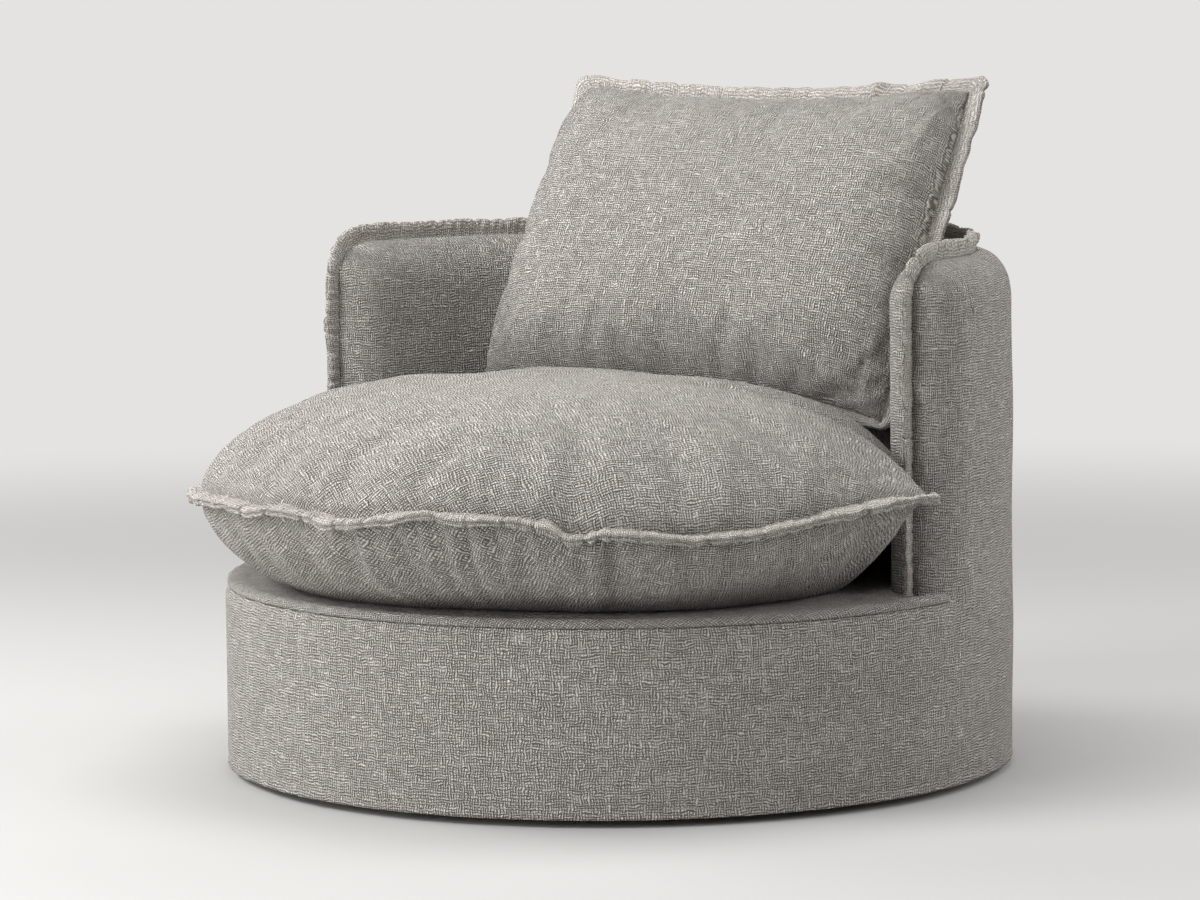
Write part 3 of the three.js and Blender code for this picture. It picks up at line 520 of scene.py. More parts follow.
def outer_wall(u, v):
    along = wall_place(u)
    angle = ARM_END + along / SEAM_RADIUS
    band_share = BAND_ROWS / (BAND_ROWS + FACE_ROWS + ROUND_ROWS)
    if v < band_share + WELD:
        depth = min(along, WALL_LENGTH - along)
        lean = min(DECK_SEAM_INSET, OUTER_BULGE - bulge(OUTER_BULGE, depth))
        return band_point(angle, min(1.0, v / band_share), lean)
    height = face_height(along, (v - band_share) / (1 - band_share), DECK_SEAM)
    depth = wall_depth(along, height)
    loose = smooth(DECK_SEAM, DECK_SEAM + 30 * MM, height)
    out = bulge(OUTER_BULGE, depth) + uneven(along, height, depth) * loose
    return at(SEAM_RADIUS + out, angle, height)


def wall_cloth(u, spot, face_radius, mean_radius):
    """A wall point's place on the flat cloth. The rounded edges need more cloth than a side view shows."""
    along = wall_place(u)
    extra = abs(face_radius - math.hypot(spot.x, spot.y))
    nearer_side = smooth(-20 * MM, 20 * MM, ARM_SEAM - spot.z - min(along, WALL_LENGTH - along))
    sideways = math.copysign(extra * nearer_side, along - WALL_LENGTH / 2)
    upright = extra * (1 - nearer_side) * smooth(500 * MM, 600 * MM, spot.z)
    return (ARM_END + along / SEAM_RADIUS) * mean_radius + sideways, spot.z + upright


def outer_cloth(u, v):
    return wall_cloth(u, outer_wall(u, v), DRUM_RADIUS, DRUM_RADIUS)


def front_cloth(u, v):
    return ARM_END * (2 * u - 1) * DRUM_RADIUS, band_height(v)


outer_cover = piece(
    "outer_cover_cloth",
    sewn(
        panel(FRONT_COLUMNS, BAND_ROWS, front_band, front_cloth),
        panel(WALL_COLUMNS, BAND_ROWS + FACE_ROWS + ROUND_ROWS, outer_wall, outer_cloth),
    ),
    cover_cloth,
    "chair",
    "upholstery",
    "outer_cover",
)
thicken(outer_cover, CLOTH)

# %% [markdown]
# The inner cover lines the wall from the deck up. It stretches round a hollow curve, so its swells are
# softer, and it meets the outer cover edge to edge in the flanged seam.

# %% Inner cover


def inner_wall(u, v):
    along = wall_place(u)
    height = face_height(along, v, DECK)
    depth = wall_depth(along, height)
    loose = smooth(DECK, DECK + 50 * MM, height)
    out = bulge(INNER_BULGE, depth) + uneven(along + 7, height, depth) * loose
    return at(SEAM_RADIUS - out, ARM_END + along / SEAM_RADIUS, height)


def inner_cloth(u, v):
    return wall_cloth(u, inner_wall(u, v), SEAM_RADIUS - INNER_BULGE, SEAM_RADIUS - INNER_BULGE)


inner_cover = piece(
    "inner_cover_cloth",
    panel(WALL_COLUMNS, FACE_ROWS + ROUND_ROWS, inner_wall, inner_cloth, inside_out=True),
    cover_cloth,
    "chair",
    "upholstery",
    "inner_cover",
)
thicken(inner_cover, CLOTH)

# %% [markdown]
# The deck's cloth lies flat under the cushion and rolls over the drum's front edge to its seam. It could be
# a spun profile, but between the arms it has to stop at the wall, so it is a panel whose reach depends on
# the angle. The roll stands a little above the deck, and it overhangs its seam, which draws the thin dark
# line under it.

# %% Deck cover
DECK_LIP = 26 * MM
DECK_COLUMNS = 360
DECK_ROWS = 50
LIP_SHARE = 0.6
LIP_TUCK = 2.5 * DEGREE
LIP_ROLL = 112 * DEGREE
LIP_CREST = 4.5 * MM
LIP_SWELL = 2.5 * MM
LIP_PUCKER = 2.6 * MM
DECK_SINK = 0.4 * MM


def deck_reach(angle):
    """How far out the deck's cloth goes: to the lip's seam in front, and to the wall between the arms."""
    away = min(abs(angle), 2 * math.pi - abs(angle))
    if away < ARM_END + LIP_TUCK:
        return DRUM_RADIUS - DECK_SEAM_INSET
    depth = (away - ARM_END) * SEAM_RADIUS
    return SEAM_RADIUS - bulge(INNER_BULGE, depth) - 0.5 * MM


def deck_point(u, v):
    angle = 2 * math.pi * (u - 0.5)
    reach = deck_reach(angle)
    flat = reach - DECK_LIP
    if v < 1 - LIP_SHARE:
        return at(flat * v / (1 - LIP_SHARE), angle, DECK - DECK_SINK)
    turn = (v - 1 + LIP_SHARE) / LIP_SHARE
    if reach < SEAM_RADIUS:
        return at(flat + DECK_LIP * turn, angle, DECK - DECK_SINK)
    roll = LIP_ROLL * turn
    drop = (DECK - DECK_SEAM) * (1 - math.cos(roll)) / (1 - math.cos(LIP_ROLL))
    arch = math.sin(math.pi * turn)
    radius = flat + DECK_LIP * math.sin(roll) / math.sin(LIP_ROLL) + LIP_SWELL * arch**2
    pucker = LIP_PUCKER * wobble(angle * 22, 2, 2) * arch**0.7
    crest = LIP_CREST * math.sin(math.pi * min(1.0, turn / 0.85))
    return at(radius + 0.6 * pucker, angle, DECK - drop + crest + 0.8 * pucker * (1 - turn) - DECK_SINK)


def deck_cloth(u, v):
    angle, reach = 2 * math.pi * (u - 0.5), deck_reach(2 * math.pi * (u - 0.5))
    flat = reach - DECK_LIP
    if v < 1 - LIP_SHARE:
        length = flat * v / (1 - LIP_SHARE)
    else:
        length = flat + 1.35 * DECK_LIP * (v - 1 + LIP_SHARE) / LIP_SHARE
    return length * math.sin(angle), -length * math.cos(angle)


deck_cover = piece(
    "deck_cover_cloth",
    panel(DECK_COLUMNS, DECK_ROWS, deck_point, deck_cloth, inside_out=True),
    cover_cloth,
    "chair",
    "upholstery",
    "deck_cover",
)
thicken(deck_cover, CLOTH)

# %% [markdown]
# A flange is the cloth's edge turned in and sewn flat, so that it stands out from the seam as a soft double
# lip. Each flange here is a closed section carried along its seam. The section is pinched at the seam and
# at the stitch line, puffs up beyond it, and ends in two folded lips with a groove between them. Along its
# way it sways, swells between nips where the cloth folds over itself, and its edge wanders, all from seeded
# chance. Small slanting ruches cross it, because the folded strip is sewn a little longer than the seam.

# %% Flanges
SECTION_SHARES = [
    (-0.12, 0.3),
    (0.08, 0.48),
    (0.22, 0.4),
    (0.36, 0.5),
    (0.5, 0.86),
    (0.68, 1.0),
    (0.85, 0.96),
    (0.96, 0.76),
    (1.0, 0.5),
    (0.86, 0.08),
]
SECTION = SECTION_SHARES + [(reach, -half) for reach, half in reversed(SECTION_SHARES)]
FLANGE_STEP = 1.9 * MM
ROOT = 2 * MM
RUCHE = 6.5 * MM
RUCHE_SLANT = 8 * MM
RUCHE_LAG = 5 * MM
FLANGE_CLOTH = 50 * MM
STITCH_PITCH = 5.6 * MM
STITCH_LENGTH = 4 * MM
STITCH_THICKNESS = 0.9 * MM
BEADS_PER_RUN = 60


def nips(length, seed, spacing):
    """Places along a flange where its cloth folds over: a distance, a width and a depth for each."""
    chance = random.Random(seed)
    place, found = 0.0, []
    while place < length:
        place += spacing * chance.uniform(0.4, 1.6)
        found.append((place, chance.uniform(1.6, 4) * MM, chance.uniform(0.25, 0.75)))
    return found


def flange_rule(stations, half, sway, seed, spacing, ruches, folds=()):
    """A rule for a flange's points, from a station's number and shares of the width and the half thickness.

    Each station is a seam point, an edge point, a normal and a distance along the seam. The folds are nips
    on top of those of chance."""
    folds = nips(stations[-1][3], seed, spacing) + list(folds)
    looks = []
    for *_, along in stations:
        nip = math.prod(1 - deep * math.exp(-(((along - spot) / wide) ** 2)) for spot, wide, deep in folds)
        swell = 1 + 0.2 * wobble(along / (9 * MM), seed, 4) + 0.3 * wobble(along / (40 * MM), seed, 5)
        bend = sway * (wobble(along / (50 * MM), seed, 7) + 0.3 * wobble(along / (20 * MM), seed, 12))
        stretch = 1 + 0.14 * wobble(along / (60 * MM), seed, 18) - 0.25 * (1 - nip)
        looks.append((nip * swell, bend, stretch))

    def point(number, reach, lift):
        seam, edge, normal, along = stations[number]
        thick, bend, stretch = looks[number]
        out = (edge - seam) * reach * (1 + (stretch - 1) * smooth(0.2, 0.6, reach))
        ruche = 1 + ruches * wobble((along + RUCHE_SLANT * reach + RUCHE_LAG * lift) / RUCHE, seed, 22)
        return seam + out + normal * (lift * half * thick * ruche + bend * max(0.0, reach) ** 1.5)

    return point


def flange(stations, point):
    """The closed cloth section of a flange."""
    rows = len(SECTION)
    last = len(stations) - 1

    def place(u, v):
        reach, lift = SECTION[round(v * rows) % rows]
        return point(round(u * last), reach, lift)

    def cloth(u, v):
        return stations[round(u * last)][3], FLANGE_CLOTH * v

    sheet = panel(last, rows, place, cloth)
    bmesh.ops.holes_fill(sheet, edges=sheet.edges)
    bmesh.ops.recalc_face_normals(sheet, faces=sheet.faces)
    return sheet


def beads(places, *sizes):
    """Small oval beads at places, each a middle, a direction along the bead and the normal under it.

    They are made in short runs, because adding to a large mesh is slow."""
    runs = []
    for number, (middle, way, normal) in enumerate(places):
        if number % BEADS_PER_RUN == 0:
            runs.append(bmesh.new())
        turn = Matrix((way, normal.cross(way).normalized(), normal)).transposed().to_4x4()
        where = Matrix.Translation(middle) @ turn @ Matrix.Diagonal((*(size / 2 for size in sizes), 1))
        bmesh.ops.create_icosphere(runs[-1], subdivisions=1, radius=1.0, matrix=where)
    return sewn(*runs)


def stitches(stations, point, *shares):
    """Rows of stitches on both sides of a flange, each at a share of its width."""
    places = []
    due = 0.0
    for number, station in enumerate(stations[:-1]):
        if station[3] < due:
            continue
        due = station[3] + STITCH_PITCH
        for share in shares:
            for lift in (0.46, -0.46):
                spot = point(number, share, lift)
                way = (point(number + 1, share, lift) - spot).normalized()
                places.append((spot, way, station[2].normalized()))
    return beads(places, STITCH_LENGTH, STITCH_THICKNESS, STITCH_THICKNESS)


# %% [markdown]
# The wall's flange follows the wall's outline: up an arm's front, round the corner, along the top and down
# again. It stands straight on from the wall, forwards at the fronts, where it is narrower and leans out a
# little, and upwards along the top. Two rows of stitches hold it flat near its root.

# %% Arm flange
ARM_FLANGE_WIDTH = 23 * MM
ARM_FLANGE_FRONT = 20 * MM
ARM_FLANGE_LEAN = 3 * MM
ARM_FLANGE_HALF = 4.4 * MM
ARM_FLANGE_SWAY = 8 * MM


def wall_edge(distance):
    """The place along the wall, the height and the outward direction at a distance along its flanged seam."""
    foot = DECK - ROOT / 2
    front = ARM_SEAM - ARM_CORNER - foot
    corner = ARM_CORNER * math.pi / 2
    total = 2 * front + 2 * corner + WALL_LENGTH - 2 * ARM_CORNER
    if distance > total / 2:
        along, height, (out_along, out_up), _ = wall_edge(total - distance)
        return WALL_LENGTH - along, height, (-out_along, out_up), total
    if distance < front:
        return 0.0, foot + distance, (-1.0, 0.0), total
    if distance < front + corner:
        turn = (distance - front) / ARM_CORNER
        along = ARM_CORNER * (1 - math.cos(turn))
        height = ARM_SEAM - ARM_CORNER * (1 - math.sin(turn))
        return along, height, (-math.cos(turn), math.sin(turn)), total
    return ARM_CORNER + distance - front - corner, ARM_SEAM, (0.0, 1.0), total


def wall_stations():
    total = wall_edge(0.0)[3]
    steps = round(total / FLANGE_STEP)
    stations = []
    for i in range(steps + 1):
        along, height, (out_along, out_up), _ = wall_edge(total * i / steps)
        angle = ARM_END + along / SEAM_RADIUS
        width = ARM_FLANGE_FRONT + (ARM_FLANGE_WIDTH - ARM_FLANGE_FRONT) * out_up
        tip_angle = angle + out_along * width / SEAM_RADIUS
        seam = at(SEAM_RADIUS, angle - out_along * ROOT / SEAM_RADIUS, height - out_up * ROOT)
        edge = at(SEAM_RADIUS + ARM_FLANGE_LEAN * (1 - out_up), tip_angle, height + out_up * width)
        stations.append((seam, edge, at(1, angle, 0), total * i / steps))
    return stations


arm_stations = wall_stations()
arm_rule = flange_rule(arm_stations, ARM_FLANGE_HALF, ARM_FLANGE_SWAY, 40, 26 * MM, 0.6)
arm_lip = flange(arm_stations, arm_rule)
arm_flange = piece("arm_flange_cloth", arm_lip, rolled_cloth_painted_light, "chair", "upholstery", "arm_flange")
arm_stitches = stitches(arm_stations, arm_rule, 0.12, 0.28)
piece("arm_flange_stitches", arm_stitches, thread, "chair", "upholstery")

# %% [markdown]
# The hem is turned under and sewn in the groove that the band has for it.

# %% Hem stitches
HEM_SINK = 0.8 * MM
hem_count = round(2 * math.pi * DRUM_RADIUS / STITCH_PITCH)
hem_places = []
for i in range(hem_count):
    hem_angle = 2 * math.pi * i / hem_count
    out = at(1, hem_angle, 0)
    spot = at(DRUM_RADIUS - HEM_SINK, hem_angle, HEM + HEM_STITCH)
    hem_places.append((spot, Vector((-out.y, out.x, 0)), out))
hem_row = beads(hem_places, STITCH_LENGTH, STITCH_THICKNESS, STITCH_THICKNESS)
piece("hem_stitches", hem_row, thread, "chair", "upholstery")

# %% [markdown]
# The seat cushion is a deep stuffed form: its front is an arc that overhangs the drum, its two front
# corners stand out past the arms as ears, and behind them it tucks in between the arms. A crown falls
# steeply to the seam, and the underside bulges, then flattens on the deck. The back cushion presses a dent
# into its rear. The stuffing pulls the cloth into upright gathers under the seam, because the underside's
# panel is cut a little long and eased in.

# %% Seat cushion's shape
SEAT_FRONT = 478 * MM
SEAT_FORWARD = 115 * MM
SEAT_REAR = 408 * MM
SEAT_SEAM = 377 * MM
SEAT_CROWN = 146 * MM
SEAT_BELLY = 150 * MM
SEAT_FLANGE = 23 * MM
SEAT_REAR_FLANGE = 8 * MM
EAR = 46 * MM
EAR_ANGLE = 83.5 * DEGREE
EAR_SPREAD = 13 * DEGREE
EAR_TIP = 24 * MM
EAR_TIP_SPREAD = 6 * DEGREE
TUCK_START = 83.2 * DEGREE
TUCK_END = 86.5 * DEGREE
SEAM_WAVE = 9 * MM
DENT_PLACE = 162 * MM
DENT_DEPTH = 99 * MM
DENT_FRONT = 68 * MM
DENT_REAR = 130 * MM
GATHER_ANGLE = 16 * DEGREE
GATHER_SPREAD = 17 * DEGREE
UNDER_GATHERS = (26 * MM, 100 * MM)
TOP_GATHERS = (8 * MM, 35 * MM)
SMALL_GATHERS = (3 * MM, 18 * MM)
SEAT_LUMP = 6 * MM
SEAT_LUMP_SPAN = 150 * MM
DECK_CLEARANCE = 0.6 * MM
CROWN_SHAPE = (3.2, 2.2)
BELLY_SHAPE = (4, 2)
SEAT_COLUMNS = 400
SEAT_ROWS = 44
CLOTH_TURN = -42 * DEGREE
PROFILE_STEPS = 60

# The seam's rises and falls on top of its even wave: degrees from the front, and millimetres
SEAM_LIFTS = [(-60, 0), (-45, 4), (-30, 18), (-20, 20), (-12, 13), (-8, 17), (-3, 10), (3, 0), (11, 11)]
SEAM_LIFTS += [(18, 10), (28, 4), (31.5, -14), (36, -5), (46, -13), (53, -9), (62, 0), (69, 10), (76, 16)]
SEAM_LIFTS += [(84, 14), (98, 0)]


def seat_reach(angle):
    """How far the cushion's seam lies from the swivel's axis."""
    away = abs(angle)
    front = SEAT_FORWARD * math.cos(away) + math.sqrt(SEAT_FRONT**2 - (SEAT_FORWARD * math.sin(away)) ** 2)
    ear = EAR * math.exp(-(((away - EAR_ANGLE) / EAR_SPREAD) ** 2))
    ear += EAR_TIP * math.exp(-(((away - EAR_ANGLE) / EAR_TIP_SPREAD) ** 2))
    tuck = smooth(TUCK_START, TUCK_END, away)
    return (front + ear) * (1 - tuck) + SEAT_REAR * tuck


def seat_flange_reach(angle):
    """How wide the cushion's flange is: full in front, and narrow where it squeezes between the arms."""
    tuck = smooth(TUCK_START - 2.75 * DEGREE, TUCK_END, abs(angle))
    return SEAT_FLANGE * (1 - tuck) + SEAT_REAR_FLANGE * tuck


def seam_lift(angle):
    """The seam's rise at an angle, eased from each given place to the next."""
    turn = angle / DEGREE
    for (start, low_lift), (end, high_lift) in zip(SEAM_LIFTS, SEAM_LIFTS[1:]):
        if start <= turn < end:
            return (low_lift + (high_lift - low_lift) * smooth(start, end, turn)) * MM
    return 0.0


def seat_seam(angle):
    """The height of the cushion's seam, which wanders in front."""
    wave = SEAM_WAVE * max(0.0, math.cos(angle)) * math.sin(3.4 * angle + 23 * DEGREE)
    return SEAT_SEAM + wave + seam_lift(angle)


def dent(y):
    """How deep the back cushion presses into the seat."""
    width = DENT_FRONT if y < DENT_PLACE else DENT_REAR
    return DENT_DEPTH * math.exp(-(((y - DENT_PLACE) / width) ** 2))


def seat_gathers(angle, away, side):
    """Folds that hang from the seam, at a distance from it: deep ones under it and slight ones above."""
    front = smooth(100 * DEGREE, 78 * DEGREE, abs(angle))
    patch = 0.22 + 0.78 * math.exp(-(((angle - GATHER_ANGLE) / GATHER_SPREAD) ** 2))
    folds = wobble(angle * 33, side * 5 + away * 1.5, 33) + 0.35 * wobble(angle * 60, away * 8, 35)
    small = SMALL_GATHERS[0] * wobble(angle * 50, side * 3, 37) * math.exp(-away / SMALL_GATHERS[1])
    deep, reach = UNDER_GATHERS if side < 0 else TOP_GATHERS
    fading = math.exp(-((away / reach) ** 2))
    return front * smooth(0, 20 * MM, away) * (deep * patch * folds * fading + small)


def seat_point(angle, share, side, inset=0.0):
    """A point of the cushion. The side is 1 on top and -1 underneath."""
    reach = seat_reach(angle) - inset
    radius = share * reach
    spot = at(radius, angle, 0)
    seam = seat_seam(angle) * share + SEAT_SEAM * (1 - share)
    lift = seam_lift(angle) * share
    point = smooth(66 * DEGREE, 82 * DEGREE, abs(angle)) * smooth(100 * DEGREE, 88 * DEGREE, abs(angle))
    if side > 0:
        power, root = CROWN_SHAPE
        rise = (SEAT_CROWN - lift - inset - dent(spot.y)) * fall(share, power, root - 1.1 * point)
        lump = wobble(spot.x / SEAT_LUMP_SPAN, spot.y / SEAT_LUMP_SPAN, 51)
        rise += SEAT_LUMP * lump * smooth(1, 0.8, share)
    else:
        power, root = BELLY_SHAPE
        rise = -(SEAT_BELLY + lift - inset) * fall(share, power + 2 * point, root - 1.4 * point)
    height = max(DECK + DECK_CLEARANCE + inset / 4, seam + rise)
    if inset:
        return at(radius, angle, height)
    return at(radius + seat_gathers(angle, abs(height - seam), side), angle, height)


def rim_share(v):
    """Rows from the middle to the seam, closer together where the cushion turns down to it."""
    return 1 - (1 - v) ** 1.9


def lengths_along(points):
    """Lengths along a row of points, from its first point to each of them."""
    lengths = [0.0]
    for one, other in zip(points, points[1:]):
        lengths.append(lengths[-1] + (other - one).length)
    return lengths


def profile_lengths(crown, power, root):
    """Shares of the way out from a cushion's middle, and the length along its profile to each."""
    shares = [rim_share(i / PROFILE_STEPS) for i in range(PROFILE_STEPS + 1)]
    points = [Vector((share * SEAT_FRONT * 1.1, crown * fall(share, power, root))) for share in shares]
    return shares, lengths_along(points)


SEAT_PROFILES = {
    1: profile_lengths(SEAT_CROWN, *CROWN_SHAPE),
    -1: profile_lengths(SEAT_BELLY, *BELLY_SHAPE),
}


def seat_half(side, inset=0.0, columns=SEAT_COLUMNS, rows=SEAT_ROWS):
    """The top or the underside of the cushion, whose flat cloth's yarns run straight through its middle."""

    def place(u, v):
        return seat_point(2 * math.pi * (u - 0.5), rim_share(v), side, inset)

    def cloth(u, v):
        angle = 2 * math.pi * (u - 0.5) - CLOTH_TURN
        length = float(np.interp(rim_share(v), *SEAT_PROFILES[side]))
        return length * math.sin(angle), -length * math.cos(angle)

    return panel(columns, rows, place, cloth, inside_out=side > 0)


seat_body = piece(
    "seat_cushion_cloth",
    sewn(seat_half(1), seat_half(-1)),
    cover_cloth,
    "seat_cushion",
    "upholstery",
    "seat_cover_top",
    "seat_cover_underside",
)

# %% [markdown]
# Both cushions get their creases from Blender's cloth solver. It wants even squares, so it doesn't blow up
# the cover itself but a coarse twin, made by a voxel remesh. The twin's cloth is a little larger than its
# form and its seam is held, so the stuffing's pressure has to lay the spare cloth in folds. The cover's own
# points then take over the twin's moves, which keeps their places on the flat cloth. The broad part of the
# swelling is left out, because the sewn shape is already full, and no point moves further than a limit.

# %% Creases from the cloth solver
TWIN_SQUARE = 11 * MM
SPARE_CLOTH = 0.055
STUFFING_PRESSURE = 4.0
LAST_FRAME = 20
BROAD_STEPS = 40
SEAM_FADE = 22 * MM
DECK_FADE = 70 * MM
LONGEST_MOVE = 9 * MM


def seen_mesh(made):
    """A new mesh of an object as its modifiers leave it."""
    return bpy.data.meshes.new_from_object(made.evaluated_get(bpy.context.evaluated_depsgraph_get()))


def points_of(mesh):
    flat = np.empty(3 * len(mesh.vertices))
    mesh.vertices.foreach_get("co", flat)
    return flat.reshape(-1, 3)


def without_broad_part(moves, mesh):
    """Moves of a mesh's points, less their average over the neighbourhood."""
    ends = np.empty(2 * len(mesh.edges), dtype=int)
    mesh.edges.foreach_get("vertices", ends)
    one, other = ends.reshape(-1, 2).T
    count = np.bincount(ends, minlength=len(moves)).reshape(-1, 1)
    broad = moves.copy()
    for _ in range(BROAD_STEPS):
        total = np.zeros_like(broad)
        for axis in range(3):
            total[:, axis] = np.bincount(one, broad[other, axis], len(moves))
            total[:, axis] += np.bincount(other, broad[one, axis], len(moves))
        broad = total / count
    return moves - broad


def creased(made, seam_distance, strength):
    """Moves a cover's points by a share of the cloth solver's moves, less near the seam and the deck."""
    twin = bpy.data.objects.new("twin", made.data)
    bpy.context.scene.collection.objects.link(twin)
    squares = twin.modifiers.new("even_squares", "REMESH")
    squares.mode = "VOXEL"
    squares.voxel_size = TWIN_SQUARE
    mesh = seen_mesh(twin)
    twin.modifiers.clear()
    twin.data = mesh
    start = points_of(mesh)
    held = twin.vertex_groups.new(name="held")
    held.add([i for i, point in enumerate(start) if seam_distance(point) < TWIN_SQUARE], 1.0, "REPLACE")
    cloth = twin.modifiers.new("stuffing", "CLOTH")
    cloth.settings.vertex_group_mass = held.name
    cloth.settings.use_pressure = True
    cloth.settings.uniform_pressure_force = STUFFING_PRESSURE
    cloth.settings.shrink_min = -SPARE_CLOTH
    cloth.settings.effector_weights.gravity = 0
    cloth.point_cache.frame_end = LAST_FRAME
    for frame_number in range(1, LAST_FRAME + 1):
        bpy.context.scene.frame_set(frame_number)
    moves = without_broad_part(points_of(seen_mesh(twin)) - start, mesh)
    sizes = np.linalg.norm(moves, axis=1)
    print("moves:", len(start), "points, middle", np.median(sizes).round(4), "longest", sizes.max().round(4))
    moves *= np.minimum(strength, LONGEST_MOVE / np.maximum(sizes, 1e-9)).reshape(-1, 1)
    bpy.data.objects.remove(twin)
    bpy.context.scene.frame_set(1)
    tree = kdtree.KDTree(len(start))
    for i, point in enumerate(start):
        tree.insert(point, i)
    tree.balance()
    for vertex in made.data.vertices:
        near = tree.find_n(vertex.co, 4)
        weights = [1 / (far + MM) for _, _, far in near]
        move = sum((Vector(moves[i]) * weight for (_, i, _), weight in zip(near, weights)), Vector())
        freedom = smooth(0, SEAM_FADE, seam_distance(vertex.co)) * smooth(0, DECK_FADE, vertex.co.z - DECK)
        vertex.co += move / sum(weights) * freedom


def seat_seam_distance(point):
    angle = math.atan2(point[0], -point[1])
    return math.hypot(seat_reach(angle) - math.hypot(point[0], point[1]), seat_seam(angle) - point[2])


creased(seat_body, seat_seam_distance, 0.65)
for vertex in seat_body.data.vertices:
    vertex.co.z = max(vertex.co.z, DECK + DECK_CLEARANCE)

# %% [markdown]
# The cushion's flange goes all the way round its seam. Stations are spaced by length along the seam, so the
# ears, where the seam turns sharply, get as many as the straight runs. In front it droops a little under
# its own weight, and at one place it folds right over itself.

# %% Seat cushion's flange
SEAT_DROOP = 17 * DEGREE
SEAT_FOLD_ANGLE = 31.7 * DEGREE
SEAT_FOLD_RADIUS = 500 * MM
SEAT_FOLD_GAP = 16 * MM
SEAT_FLANGE_HALF = 6.2 * MM
CUSHION_FLANGE_SWAY = 10 * MM


def seat_stations():
    coarse = [math.pi * (i / 2000 - 1) for i in range(4001)]
    lengths = lengths_along([at(seat_reach(a), a, seat_seam(a)) for a in coarse])
    steps = round(lengths[-1] / FLANGE_STEP)
    stations = []
    for i in range(steps + 1):
        length = lengths[-1] * i / steps
        angle = float(np.interp(length, lengths, coarse))
        droop = SEAT_DROOP * smooth(84 * DEGREE, 70 * DEGREE, abs(angle))
        width, level = seat_flange_reach(angle), seat_seam(angle) + ROOT
        seam = at(seat_reach(angle) - ROOT, angle, level)
        edge = at(seat_reach(angle) + width * math.cos(droop), angle, level - width * math.sin(droop))
        normal = at(math.sin(droop), angle, math.cos(droop))
        stations.append((seam, edge, normal, length))
    return stations


seat_edge = seat_stations()
near_fold = at(SEAT_FOLD_RADIUS, SEAT_FOLD_ANGLE, SEAT_SEAM)
fold_place = min(seat_edge, key=lambda station: (station[0] - near_fold).length)[3]
seat_folds = [(fold_place, 5 * MM, 0.75), (fold_place + SEAT_FOLD_GAP, 4 * MM, 0.4)]
seat_rule = flange_rule(seat_edge, SEAT_FLANGE_HALF, CUSHION_FLANGE_SWAY, 80, 60 * MM, 0.6, seat_folds)
seat_lip = flange(seat_edge, seat_rule)
seat_flange = piece("seat_flange_cloth", seat_lip, rolled_cloth_painted_light, "seat_cushion", "upholstery")
seat_stitches = stitches(seat_edge, seat_rule, 0.2)
piece("seat_flange_stitches", seat_stitches, thread, "seat_cushion", "upholstery")

# %% [markdown]
# The back cushion is a stuffed square whose top and bottom draw in between its corners, because the
# stuffing pulls the cloth up into the crown. In front it bulges past its own side seams. Folds fan out from
# its corners, and small gathers sit along its seams. It is laid out in its own flat frame first: across, up
# along the lean, and out towards the sitter. Its lower corners sag into the seat.

# %% Back cushion's shape
PILLOW_LENGTH = 476 * MM
PILLOW_HALF = 323.5 * MM
PILLOW_DEPTH = 93 * MM
PILLOW_PULL = 22 * MM
PILLOW_SAG = 16 * MM
PILLOW_OVERHANG = 12 * MM
PILLOW_FLANGE = 25 * MM
PILLOW_LEAN = 29.4 * DEGREE
PILLOW_FOOT = 140 * MM
PILLOW_LEVEL = 474 * MM
PILLOW_SPREAD = 13 * MM
CORNER_FOLD = 8 * MM
CORNER_FOLD_REACH = 170 * MM
LENGTH_GATHER = 5.5 * MM
SIDE_GATHER = 2 * MM
GATHER_SPAN = 22 * MM
PILLOW_LUMP = 7 * MM
PILLOW_LUMP_SPAN = 140 * MM
PILLOW_COLUMNS = 170
PILLOW_ROWS = 130


def stood(across, up, out):
    """A point of the back cushion, from its own frame to the chair's. Out is towards the sitter."""
    sine, cosine = math.sin(PILLOW_LEAN), math.cos(PILLOW_LEAN)
    return Vector((across, PILLOW_FOOT + up * sine - out * cosine, PILLOW_LEVEL + up * cosine + out * sine))


def sag(a, b):
    """How far the lower corners of the cushion hang below its foot."""
    return PILLOW_SAG * a**4 * max(0.0, -b) ** 3


def foot_spread(a, b):
    """How far the cushion's lower sides spread, where its own weight presses them out."""
    return PILLOW_SPREAD * a * abs(a) * smooth(-0.2, -0.9, b)


def pillow_folds(across, up, side):
    """Folds that fan out from the corners, and gathers along the seams."""
    folds = 0.0
    for x in (-PILLOW_HALF, PILLOW_HALF):
        for y in (0.0, PILLOW_LENGTH):
            far = math.hypot(across - x, up - y)
            turn = math.atan2(abs(up - y), abs(across - x))
            strong = 1.5 if (x > 0) == (y > 0) else 0.8
            fan = wobble(turn / 0.3, x * 9 + y * 5, side * 3 + far * 2)
            fading = smooth(0, 70 * MM, far) * math.exp(-((far / CORNER_FOLD_REACH) ** 2))
            folds += strong * CORNER_FOLD * fan * fading
    edge = min(PILLOW_HALF - abs(across), up, PILLOW_LENGTH - up)
    ease = LENGTH_GATHER if edge < PILLOW_HALF - abs(across) else SIDE_GATHER
    fading = math.exp(-max(0.0, edge) / (20 * MM))
    gathers = ease * wobble(across / GATHER_SPAN, up / GATHER_SPAN, 61 + side) * fading
    lumps = PILLOW_LUMP * wobble(across / PILLOW_LUMP_SPAN, up / PILLOW_LUMP_SPAN, 71 + side)
    return (folds + gathers + lumps) * smooth(0, 20 * MM, edge)


